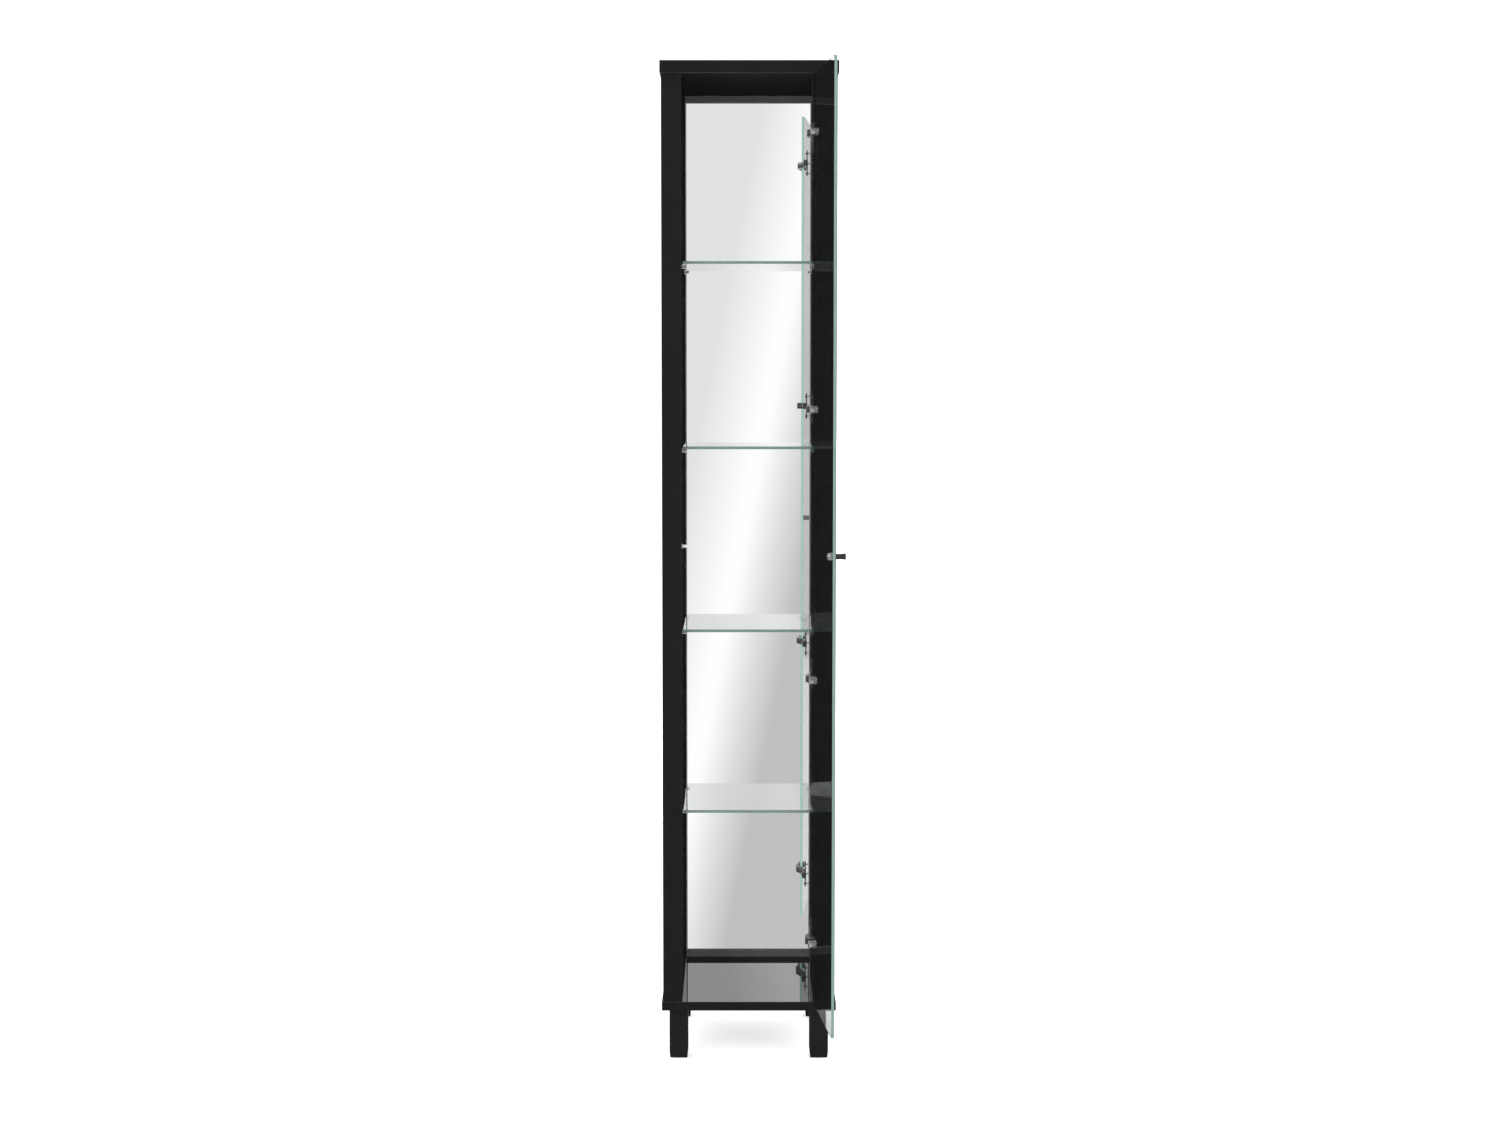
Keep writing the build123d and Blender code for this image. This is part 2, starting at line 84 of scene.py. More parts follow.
# ---- the open door: u runs along the glass from the hinge axis, v towards its inner side ----
HINGE = next(joint for joint in frame["joints"] if joint["name"] == "door_hinge")
PIVOT = Vector((HINGE["pos_m"][0], HINGE["pos_m"][1], 0))
DOOR_TURN = Matrix.Translation(PIVOT) @ Matrix.Rotation(math.radians(-HINGE["range_deg"][0]), 4, "Z")
GLASS_OUTER_V = -0.008
GLASS_INNER_V = -0.003
GLASS_NEAR_U = 0.008
GLASS_FAR_U = -0.228
GLASS_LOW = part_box("door_glass")[0].z
GLASS_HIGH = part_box("door_glass")[1].z
KNOB_U = -0.208
CUP_U = -0.018


def middle(node):
    """Centre of a CAD node's box."""
    low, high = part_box(node)
    return (low + high) / 2


def on_door(u, v, z):
    """Matrix of a place on the door whose local Z points out of the outer face, X along u, Y up."""
    face = Matrix(((1, 0, 0, u), (0, 0, -1, v), (0, 1, 0, z), (0, 0, 0, 1)))
    return DOOR_TURN @ face


def on_wall(side, y, z):
    """Matrix of a place on an inner side wall whose local Z points into the cabinet, Y up."""
    face = Matrix(((0, 0, -side, side * HALF_IN), (side, 0, 0, y), (0, 1, 0, z), (0, 0, 0, 1)))
    return face


def on_back(x, y, z):
    """Matrix of a place on the rear whose local Z points to the back, Y up."""
    return Matrix(((-1, 0, 0, x), (0, 0, 1, y), (0, 1, 0, z), (0, 0, 0, 1)))


def carcass_screw_places(node):
    """Where the four carcass screws of the top or the base sit: local Z points out of the board."""
    high = node == "top_board"
    face = TOP[1].z if high else BASE[0].z
    turn = Matrix() if high else Matrix.Rotation(math.pi, 4, "X")
    return [Matrix.Translation((x, y, face)) @ turn for x in (-0.1385, 0.1385) for y in (-0.11, 0.11)]


# ---- sizes and colours a user would change ----
class ShowcaseSizes(bpy.types.PropertyGroup):
    """Small sizes that the frame leaves to the finish."""

    board_edge: bpy.props.FloatProperty(
        name="Board edge", description="Radius on the edges of the boards", default=0.0008, unit="LENGTH"
    )
    edging: bpy.props.FloatProperty(
        name="Edging", description="Thickness of the boards' edging strip", default=0.0014, unit="LENGTH"
    )
    glass_edge: bpy.props.FloatProperty(
        name="Glass edge", description="Ground chamfer on shelves and door", default=0.0006, unit="LENGTH"
    )
    mirror_bevel: bpy.props.FloatProperty(
        name="Mirror bevel", description="Bevel along the mirror's front edges", default=0.0022, unit="LENGTH"
    )
    metal_edge: bpy.props.FloatProperty(
        name="Metal edge", description="Radius on stamped and cast metal", default=0.0003, unit="LENGTH"
    )
    turns: bpy.props.IntProperty(
        name="Turning steps", description="Faces round a turned piece", default=48, min=12
    )


class ShowcaseColours(bpy.types.PropertyGroup):
    """Colours of the finishes."""

    board: bpy.props.FloatVectorProperty(
        name="Board", description="Black board", size=3, subtype="COLOR", default=(0.0085, 0.0085, 0.0085)
    )
    # Painted light: the inner faces are the same black board, given a lighter colour than the board to stand
    # in for the light on them; they are also matt.
    inner: bpy.props.FloatVectorProperty(
        name="Inner faces", description="Matt inner faces of sides and top", size=3, subtype="COLOR",
        default=(0.022, 0.022, 0.022)
    )
    # Painted light: the black mirror rails get a light grey that stands in for the light on them.
    rail: bpy.props.FloatVectorProperty(
        name="Rail", description="Mirror rails", size=3, subtype="COLOR", default=(0.165, 0.165, 0.165)
    )
    glass: bpy.props.FloatVectorProperty(
        name="Glass", description="Clear float glass, seen through", size=3, subtype="COLOR",
        default=(0.955, 0.985, 0.975)
    )
    glass_edge: bpy.props.FloatVectorProperty(
        name="Glass edge", description="Green of the glass edges", size=3, subtype="COLOR",
        default=(0.27, 0.42, 0.37)
    )
    side_edge: bpy.props.FloatVectorProperty(
        name="Side edges", description="Polished rear and side edges of the shelves", size=3, subtype="COLOR",
        default=(0.3, 0.42, 0.38)
    )
    mirror: bpy.props.FloatVectorProperty(
        name="Mirror", description="Silvered glass", size=3, subtype="COLOR", default=(0.94, 0.945, 0.945)
    )
    chrome: bpy.props.FloatVectorProperty(
        name="Chrome", description="Polished chrome", size=3, subtype="COLOR", default=(0.5, 0.5, 0.51)
    )
    hinge: bpy.props.FloatVectorProperty(
        name="Hinge metal", description="Black nickel plating", size=3, subtype="COLOR",
        default=(0.1, 0.1, 0.105)
    )
    knob: bpy.props.FloatVectorProperty(
        name="Knob", description="Satin black knob", size=3, subtype="COLOR", default=(0.012, 0.012, 0.012)
    )


# ---- shader groups shared by the materials ----
def new_group(name, inputs, outputs):
    """An empty shader group with float inputs (name, default) and outputs (name, socket type)."""
    group = bpy.data.node_groups.new(name, "ShaderNodeTree")
    for label, default in inputs:
        socket = group.interface.new_socket(name=label, in_out="INPUT", socket_type="NodeSocketFloat")
        socket.default_value = default
    for label, kind in outputs:
        group.interface.new_socket(name=label, in_out="OUTPUT", socket_type=kind)
    return group, group.nodes.new("NodeGroupInput"), group.nodes.new("NodeGroupOutput")


def math_node(tree, operation, first, second):
    """A Math node joined to two sockets or numbers."""
    node = tree.nodes.new("ShaderNodeMath")
    node.operation = operation
    for socket, value in zip(node.inputs, (first, second)):
        if isinstance(value, bpy.types.NodeSocket):
            tree.links.new(value, socket)
        else:
            socket.default_value = value
    return node.outputs[0]


def ramp(tree, value, stops):
    """A colour ramp through grey stops (position, level)."""
    node = tree.nodes.new("ShaderNodeValToRGB")
    while len(node.color_ramp.elements) < len(stops):
        node.color_ramp.elements.new(0.5)
    for element, (place, level) in zip(node.color_ramp.elements, stops):
        element.position = place
        element.color = (level, level, level, 1)
    tree.links.new(value, node.inputs["Fac"])
    return node.outputs["Color"]


def mottle_group():
    """Broad, faint unevenness and a fine skin, from object coordinates."""
    inputs = [("Broad", 9.0), ("Fine", 900.0)]
    outputs = [("Cloud", "NodeSocketFloat"), ("Skin", "NodeSocketFloat")]
    group, given, result = new_group("Showcase Mottle", inputs, outputs)
    place = group.nodes.new("ShaderNodeTexCoord")
    for label, output, detail in (("Broad", "Cloud", 5.0), ("Fine", "Skin", 2.0)):
        noise = group.nodes.new("ShaderNodeTexNoise")
        noise.inputs["Detail"].default_value = detail
        group.links.new(place.outputs["Object"], noise.inputs["Vector"])
        group.links.new(given.outputs[label], noise.inputs["Scale"])
        group.links.new(noise.outputs["Fac"], result.inputs[output])
    return group


def wear_group():
    """Mask of rubbed edges: the face attribute 'edge', broken up by noise."""
    inputs = [("Amount", 0.5), ("Scale", 60.0)]
    group, given, result = new_group("Showcase Edge Wear", inputs, [("Mask", "NodeSocketFloat")])
    place = group.nodes.new("ShaderNodeTexCoord")
    noise = group.nodes.new("ShaderNodeTexNoise")
    noise.inputs["Detail"].default_value = 6.0
    group.links.new(place.outputs["Object"], noise.inputs["Vector"])
    group.links.new(given.outputs["Scale"], noise.inputs["Scale"])
    edge = group.nodes.new("ShaderNodeAttribute")
    edge.attribute_name = "edge"
    broken = ramp(group, noise.outputs["Fac"], [(0.42, 0.0), (0.68, 1.0)])
    mask = math_node(group, "MULTIPLY", edge.outputs["Fac"], broken)
    mask = math_node(group, "MULTIPLY", mask, given.outputs["Amount"])
    group.links.new(mask, result.inputs["Mask"])
    return group


def dust_group():
    """Mask of light dust on faces that look up, thicker in patches."""
    inputs = [("Amount", 0.3), ("Scale", 25.0)]
    group, given, result = new_group("Showcase Dust", inputs, [("Mask", "NodeSocketFloat")])
    place = group.nodes.new("ShaderNodeTexCoord")
    split = group.nodes.new("ShaderNodeSeparateXYZ")
    group.links.new(place.outputs["Normal"], split.inputs[0])
    upward = ramp(group, split.outputs["Z"], [(0.6, 0.0), (0.98, 1.0)])
    noise = group.nodes.new("ShaderNodeTexNoise")
    noise.inputs["Detail"].default_value = 8.0
    group.links.new(place.outputs["Object"], noise.inputs["Vector"])
    group.links.new(given.outputs["Scale"], noise.inputs["Scale"])
    patches = ramp(group, noise.outputs["Fac"], [(0.35, 0.15), (0.75, 1.0)])
    mask = math_node(group, "MULTIPLY", upward, patches)
    mask = math_node(group, "MULTIPLY", mask, given.outputs["Amount"])
    group.links.new(mask, result.inputs["Mask"])
    return group


GROUPS = {}


def use_group(tree, name, **values):
    """A shared group placed in a material, with its own values."""
    node = tree.nodes.new("ShaderNodeGroup")
    node.node_tree = GROUPS[name]
    for label, value in values.items():
        node.inputs[label].default_value = value
    return node


# ---- materials ----
MATERIALS = {}


def new_material(name, **constants):
    """A material with one Principled shader whose even values are set on its own sockets."""
    material = bpy.data.materials.new(name)
    material.use_nodes = True
    tree = material.node_tree
    shader = tree.nodes["Principled BSDF"]
    for label, value in constants.items():
        shader.inputs[label.replace("_", " ")].default_value = value
    MATERIALS[name] = material
    return material, tree, shader


def mix_colour(tree, mask, first, second):
    """A colour mix by a mask; each side is a colour or a socket."""
    node = tree.nodes.new("ShaderNodeMix")
    node.data_type = "RGBA"
    tree.links.new(mask, node.inputs["Factor"])
    for socket, value in ((node.inputs["A"], first), (node.inputs["B"], second)):
        if isinstance(value, bpy.types.NodeSocket):
            tree.links.new(value, socket)
        else:
            socket.default_value = (*value, 1)
    return node.outputs["Result"]


def clouded(tree, mask, colour, first, second):
    """A colour that drifts between two strengths of itself."""
    weak, strong = ([min(1, c * factor) for c in colour] for factor in (first, second))
    return mix_colour(tree, mask, weak, strong)


def spread(tree, value, low, high):
    """A noise value, mapped to a range."""
    node = tree.nodes.new("ShaderNodeMapRange")
    node.inputs["From Min"].default_value = 0.3
    node.inputs["From Max"].default_value = 0.7
    node.inputs["To Min"].default_value = low
    node.inputs["To Max"].default_value = high
    tree.links.new(value, node.inputs["Value"])
    return node.outputs["Result"]


def bump(tree, shader, height, distance, strength=0.5):
    """Relief on the shader's normal."""
    node = tree.nodes.new("ShaderNodeBump")
    node.inputs["Distance"].default_value = distance
    node.inputs["Strength"].default_value = strength
    tree.links.new(height, node.inputs["Height"])
    tree.links.new(node.outputs["Normal"], shader.inputs["Normal"])


def board_material(name, colour, smooth, rough, gloss, relief):
    """Lacquered or laminated black board: faint cloud, fine skin, rubbed edges and a little dust."""
    _, tree, shader = new_material(name, Specular_IOR_Level=gloss)
    mottle = use_group(tree, "mottle", Broad=7.0, Fine=smooth)
    wear = use_group(tree, "wear", Amount=0.35, Scale=45.0)
    dust = use_group(tree, "dust", Amount=0.012, Scale=18.0)
    cloud = mottle.outputs["Cloud"]
    deep = clouded(tree, cloud, colour, 0.8, 1.2)
    rubbed = mix_colour(tree, wear.outputs["Mask"], deep, [c * 4 + 0.01 for c in colour])
    dusty = mix_colour(tree, dust.outputs["Mask"], rubbed, (0.35, 0.34, 0.33))
    tree.links.new(dusty, shader.inputs["Base Color"])
    worn = math_node(tree, "MULTIPLY", wear.outputs["Mask"], 0.25)
    level = math_node(tree, "ADD", spread(tree, cloud, rough * 0.8, rough * 1.25), worn)
    tree.links.new(level, shader.inputs["Roughness"])
    bump(tree, shader, mottle.outputs["Skin"], relief)


def glass_material(name, colour, rough, smear):
    """Float glass: clear to shadow rays, with faint smears in its roughness."""
    material, tree, shader = new_material(name, IOR=1.5, Transmission_Weight=1.0)
    mottle = use_group(tree, "mottle", Broad=14.0, Fine=420.0)
    clean = clouded(tree, mottle.outputs["Cloud"], colour, 1.01, 0.985)
    tree.links.new(clean, shader.inputs["Base Color"])
    tree.links.new(spread(tree, mottle.outputs["Cloud"], rough, rough + smear), shader.inputs["Roughness"])
    clear = tree.nodes.new("ShaderNodeBsdfTransparent")
    clear.inputs["Color"].default_value = (*[0.5 + c / 2 for c in colour], 1)
    path = tree.nodes.new("ShaderNodeLightPath")
    blend = tree.nodes.new("ShaderNodeMixShader")
    tree.links.new(path.outputs["Is Shadow Ray"], blend.inputs["Fac"])
    tree.links.new(shader.outputs["BSDF"], blend.inputs[1])
    tree.links.new(clear.outputs["BSDF"], blend.inputs[2])
    tree.links.new(blend.outputs["Shader"], tree.nodes["Material Output"].inputs["Surface"])


def edge_material(name, colour, glow=0.0):
    """Ground green edge of float glass: frosted outside, with painted shade where it is seen through the
    glass and, when glow is given, a painted glow on the outer side.
    """
    _, tree, shader = new_material(name, IOR=1.5, Transmission_Weight=0.1)
    mottle = use_group(tree, "mottle", Broad=40.0, Fine=900.0)
    cloud = mottle.outputs["Cloud"]
    tint = clouded(tree, cloud, colour, 0.9, 1.1)
    # Painted shade: the back-facing side, seen through the glass, gets a near-black colour in place of the
    # dark that light makes there.
    side = tree.nodes.new("ShaderNodeNewGeometry").outputs["Backfacing"]
    tree.links.new(mix_colour(tree, side, tint, [c * 0.04 for c in colour]), shader.inputs["Base Color"])
    # Painted glow: an emission on the outer side makes the edge shine though it is no lamp.
    if glow:
        painted_glow = mix_colour(tree, side, [c * glow for c in colour], (0, 0, 0))
        tree.links.new(painted_glow, shader.inputs["Emission Color"])
        shader.inputs["Emission Strength"].default_value = 1.0
    tree.links.new(spread(tree, cloud, 0.3, 0.45), shader.inputs["Roughness"])
    bump(tree, shader, mottle.outputs["Skin"], 0.00002)


def metal_material(name, colour, rough, grain, relief, wear_amount):
    """Plated metal: uneven polish, fine grain and brighter rubbed edges."""
    _, tree, shader = new_material(name, Metallic=1.0)
    mottle = use_group(tree, "mottle", Broad=70.0, Fine=grain)
    wear = use_group(tree, "wear", Amount=wear_amount, Scale=300.0)
    cloud = mottle.outputs["Cloud"]
    plate = clouded(tree, cloud, colour, 0.88, 1.08)
    bright = mix_colour(tree, wear.outputs["Mask"], plate, [min(1, c * 1.5 + 0.1) for c in colour])
    tree.links.new(bright, shader.inputs["Base Color"])
    tree.links.new(spread(tree, cloud, rough * 0.7, rough * 1.4), shader.inputs["Roughness"])
    bump(tree, shader, mottle.outputs["Skin"], relief, 0.3)


def plastic_material(name, colour, rough, fine, relief, **constants):
    """Moulded or painted skin with a fine spark texture."""
    _, tree, shader = new_material(name, **constants)
    mottle = use_group(tree, "mottle", Broad=60.0, Fine=fine)
    wear = use_group(tree, "wear", Amount=0.4, Scale=260.0)
    cloud = mottle.outputs["Cloud"]
    skin = clouded(tree, cloud, colour, 0.85, 1.15)
    rubbed = mix_colour(tree, wear.outputs["Mask"], skin, [min(1, c * 3 + 0.02) for c in colour])
    tree.links.new(rubbed, shader.inputs["Base Color"])
    tree.links.new(spread(tree, cloud, rough * 0.8, rough * 1.2), shader.inputs["Roughness"])
    bump(tree, shader, mottle.outputs["Skin"], relief)


def mirror_material(name, colour, rough):
    """Silvered glass with the faintest haze."""
    _, tree, shader = new_material(name, Metallic=1.0)
    mottle = use_group(tree, "mottle", Broad=11.0, Fine=500.0)
    cloud = mottle.outputs["Cloud"]
    silver = clouded(tree, cloud, colour, 1, 0.985)
    tree.links.new(silver, shader.inputs["Base Color"])
    tree.links.new(spread(tree, cloud, rough, rough * 2), shader.inputs["Roughness"])


def wood_material(name, colour):
    """Plain beech with a straight grain along Z."""
    _, tree, shader = new_material(name, Roughness=0.6)
    place = tree.nodes.new("ShaderNodeTexCoord")
    turn = tree.nodes.new("ShaderNodeMapping")
    turn.inputs["Scale"].default_value = (900, 900, 30)
    noise = tree.nodes.new("ShaderNodeTexNoise")
    noise.inputs["Scale"].default_value = 1.0
    tree.links.new(place.outputs["Object"], turn.inputs["Vector"])
    tree.links.new(turn.outputs["Vector"], noise.inputs["Vector"])
    grain = mix_colour(
        tree, noise.outputs["Fac"], [c * 0.7 for c in colour], [min(1, c * 1.2) for c in colour]
    )
    tree.links.new(grain, shader.inputs["Base Color"])
    bump(tree, shader, noise.outputs["Fac"], 0.0002)


# ---- mesh helpers ----
def edge_layer(bm):
    """The float layer that marks bevelled faces for the wear mask."""
    layer = bm.faces.layers.float.get("edge")
    return layer or bm.faces.layers.float.new("edge")


def round_edges(bm, edges, width, segments=3, material=-1):
    """Bevel edges and mark the new faces as edges."""
    layer = edge_layer(bm)
    made = bmesh.ops.bevel(
        bm, geom=list(edges), offset=width, offset_type="OFFSET", affect="EDGES",
        segments=segments, profile=0.5, material=material, clamp_overlap=True,
    )
    for face in made["faces"]:
        face[layer] = 1.0
    return made["faces"]


def sharp_edges(bm, degrees=35):
    """Edges where two faces meet at more than an angle."""
    limit = math.radians(degrees)
    return [e for e in bm.edges if len(e.link_faces) == 2 and e.calc_face_angle(0) > limit]


def block(bm, low, high):
    """A box between two corners; returns its vertices."""
    low, high = Vector(low), Vector(high)
    made = bmesh.ops.create_cube(bm, size=1.0)["verts"]
    bmesh.ops.scale(bm, vec=high - low, verts=made)
    bmesh.ops.translate(bm, vec=(low + high) / 2, verts=made)
    return made


def slice_mesh(bm, point, normal, **keep):
    """Cut the faces along a plane."""
    geometry = [*bm.verts, *bm.edges, *bm.faces]
    bmesh.ops.bisect_plane(bm, geom=geometry, plane_co=point, plane_no=normal, dist=1e-7, **keep)


def sheet_with_holes(bm, outline, holes, thickness, place):
    """A flat plate from an outline of (x, y) points and round holes (x, y, radius, steps), raised along Z."""
    edges = []
    corners = [bm.verts.new((x, y, 0)) for x, y in outline]
    for first, second in zip(corners, corners[1:] + corners[:1]):
        edges.append(bm.edges.new((first, second)))
    for x, y, radius, steps in holes:
        ring = bmesh.ops.create_circle(bm, radius=radius, segments=steps)["verts"]
        bmesh.ops.translate(bm, vec=(x, y, 0), verts=ring)
        edges += list({e for v in ring for e in v.link_edges})
        corners += ring
    filled = bmesh.ops.triangle_fill(bm, use_beauty=True, use_dissolve=False, edges=edges)
    faces = [g for g in filled["geom"] if isinstance(g, bmesh.types.BMFace)]
    for face in faces:
        if face.normal.z > 0:
            face.normal_flip()
    raised = bmesh.ops.extrude_face_region(bm, geom=faces)
    moved = [g for g in raised["geom"] if isinstance(g, bmesh.types.BMVert)]
    bmesh.ops.translate(bm, vec=(0, 0, thickness), verts=moved)
    bmesh.ops.recalc_face_normals(bm, faces=bm.faces)
    made = list({*corners, *moved})
    bmesh.ops.transform(bm, matrix=place, verts=made)
    return made


def rounded_outline(low, high, radius, steps=6):
    """Outline of a rectangle with round corners, anticlockwise."""
    points = []
    corners = ((high[0], high[1], 0), (low[0], high[1], 90), (low[0], low[1], 180), (high[0], low[1], 270))
    for x, y, start in corners:
        cx = x - math.copysign(radius, x - (low[0] + high[0]) / 2)
        cy = y - math.copysign(radius, y - (low[1] + high[1]) / 2)
        for n in range(steps + 1):
            angle = math.radians(start + 90 * n / steps)
            points.append((cx + radius * math.cos(angle), cy + radius * math.sin(angle)))
    return points


def add_part(bm, part, place):
    """Move a part made by itself to its place and join it to a piece."""
    bmesh.ops.transform(part, matrix=place, verts=part.verts)
    mesh = bpy.data.meshes.new("part")
    part.to_mesh(mesh)
    part.free()
    bm.from_mesh(mesh)
    bpy.data.meshes.remove(mesh)


def turned(bm, profile, place, closed=False, material=0):
    """A turned piece: (radius, height) points spun about local Z; closed joins the last to the first."""
    part = bmesh.new()
    edge_layer(part)
    verts = [part.verts.new((r, 0, h)) for r, h in profile]
    pairs = list(zip(verts, verts[1:]))
    if closed:
        pairs.append((verts[-1], verts[0]))
    edges = [part.edges.new(pair) for pair in pairs]
    bmesh.ops.spin(
        part, geom=verts + edges, cent=(0, 0, 0), axis=(0, 0, 1), angle=2 * math.pi,
        steps=sizes().turns, use_merge=True, use_duplicate=False,
    )
    bmesh.ops.remove_doubles(part, verts=part.verts, dist=1e-7)
    bmesh.ops.recalc_face_normals(part, faces=part.faces)
    for face in part.faces:
        face.material_index = material
    add_part(bm, part, place)


def raised(bm, outline, holes, depth, place, corner=0.0, edge=0.0):
    """A flat solid raised along local Z from an outline, with rounded upright corners and soft edges."""
    part = bmesh.new()
    edge_layer(part)
    sheet_with_holes(part, outline, holes, depth, Matrix())
    if corner:
        upright = [e for e in sharp_edges(part) if abs(e.verts[0].co.z - e.verts[1].co.z) > depth / 2]
        round_edges(part, upright, corner, 4)
    if edge:
        round_edges(
            part, [e for e in sharp_edges(part) if abs(e.verts[0].co.z - e.verts[1].co.z) < 1e-6], edge, 2
        )
    add_part(bm, part, place)


def arc(x, y, radius, start, end, steps):
    """Points along an arc, angles in degrees."""
    turns = [math.radians(start + (end - start) * n / steps) for n in range(steps + 1)]
    return [(x + radius * math.cos(t), y + radius * math.sin(t)) for t in turns]


def cross_cutter(tool, place, reach, width, depth):
    """The plus-shaped recess of a cross-head screw, sunk below local Z = 0."""
    r, w = reach, width / 2
    outline = [
        (r, -w), (r, w), (w, w), (w, r), (-w, r), (-w, w), (-r, w), (-r, -w), (-w, -w), (-w, -r), (w, -r),
        (w, -w)
    ]
    raised(tool, outline, [], depth + 0.0005, place @ Matrix.Translation((0, 0, -depth)))


def finish_piece(name, bm, materials, body, nodes, smooth=False):
    """Write a bmesh to an object that rides on a body and stands for its CAD nodes."""
    edge_layer(bm)
    for face in bm.faces:
        face.smooth = smooth
    mesh = bpy.data.meshes.new(name)
    bm.to_mesh(mesh)
    bm.free()
    if smooth:
        mesh.set_sharp_from_angle(angle=math.radians(38))
    for material in materials:
        mesh.materials.append(MATERIALS[material])
    piece = bpy.data.objects.new(name, mesh)
    bpy.context.scene.collection.objects.link(piece)
    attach(piece, body)
    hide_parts(*nodes)
    return piece


def screw_piece(name, bm, node, cutter):
    """Write steel screws to one object of the cabinet, with their drives cut in."""
    piece = finish_piece(name, bm, ["zinc_steel"], "cabinet", [node], smooth=True)
    cut(piece, cutter)


def cut(piece, cutter):
    """Take a closed bmesh away from a piece, and keep the result as its mesh."""
    mesh = bpy.data.meshes.new("cutter")
    cutter.to_mesh(mesh)
    cutter.free()
    tool = bpy.data.objects.new("cutter", mesh)
    bpy.context.scene.collection.objects.link(tool)
    modifier = piece.modifiers.new("holes", "BOOLEAN")
    modifier.operation = "DIFFERENCE"
    modifier.solver = "EXACT"
    modifier.object = tool
    graph = bpy.context.evaluated_depsgraph_get()
    made = bpy.data.meshes.new_from_object(piece.evaluated_get(graph))
    piece.modifiers.clear()
    piece.data = made
    bpy.data.objects.remove(tool)
    bpy.data.meshes.remove(mesh)


def sizes():
    """The size settings of this scene."""
    return bpy.context.scene.showcase_sizes


def colours():
    """The colour settings of this scene."""
    return bpy.context.scene.showcase_colours


# ---- operators ----
class SHOWCASE_OT_materials(bpy.types.Operator):
    """Build the shader groups and materials"""

    bl_idname = "showcase.materials"
    bl_label = "Materials"
    bl_options = {"REGISTER", "UNDO"}

    def execute(self, context):
        GROUPS.update(mottle=mottle_group(), wear=wear_group(), dust=dust_group())
        tint = colours()
        board_material("black_board", tint.board, 700.0, 0.3, 0.25, 0.00002)
        # Inner faces: the board's black made lighter as painted light, with no specular.
        board_material("black_inner_painted_light", tint.inner, 700.0, 0.6, 0.0, 0.00002)
        board_material("black_edging", tint.board, 500.0, 0.5, 0.04, 0.00003)
        # Painted light: the black rails carry a light grey in place of the light on them.
        board_material("rail_black_painted_light", tint.rail, 500.0, 0.5, 0.04, 0.00003)
        board_material("glossy_deck", tint.board, 300.0, 0.02, 1.0, 0.000002)
        MATERIALS["glossy_deck"].node_tree.nodes["Principled BSDF"].inputs["IOR"].default_value = 2.1
        board_material("leg_lacquer", tint.board, 400.0, 0.4, 0.1, 0.00003)
        plastic_material("back_board", (0.02, 0.02, 0.02), 0.6, 500.0, 0.0001, Specular_IOR_Level=0.3)
        glass_material("shelf_glass", tint.glass, 0.0, 0.004)
        glass_material("door_glass", tint.glass, 0.0, 0.003)
        # Painted light and shade: the door, hinge-side, shelf and arris edges are lighter and darker copies
        # of one glass-edge green; the hinge-side edge is the brightest and glows, and the arris is
        # near-black.
        edge_material("door_edge", [c * 0.6 for c in tint.glass_edge])
        edge_material("hinge_edge_painted_glow", [min(1, c * 1.7) for c in tint.glass_edge], 0.7)
        edge_material("shelf_edge", [c * 0.42 for c in tint.glass_edge])
        edge_material("glass_arris_painted_shade", [c * 0.05 for c in tint.glass_edge])
        glass_material("clear_edge", tint.side_edge, 0.02, 0.02)
        glass_material("clear_sleeve", (0.2, 0.21, 0.21), 0.12, 0.08)
        mirror_material("mirror_face", tint.mirror, 0.002)
        plastic_material("mirror_bevel", tint.mirror, 0.4, 500.0, 0.00001, Specular_IOR_Level=0.5)
        metal_material("chrome", tint.chrome, 0.09, 700.0, 0.00001, 0.2)
        metal_material("hinge_metal", tint.hinge, 0.22, 900.0, 0.00002, 0.6)
        metal_material("zinc_steel", (0.5, 0.5, 0.52), 0.32, 1200.0, 0.00003, 0.4)
        plastic_material("knob_black", tint.knob, 0.3, 1500.0, 0.00003, Specular_IOR_Level=0.5)
        plastic_material("black_nylon", (0.03, 0.03, 0.03), 0.5, 1200.0, 0.00004, Specular_IOR_Level=0.4)
        plastic_material("pale_nylon", (0.6, 0.6, 0.6), 0.45, 1200.0, 0.00004, Specular_IOR_Level=0.4)
        wood_material("beech", (0.62, 0.45, 0.28))
        return {"FINISHED"}


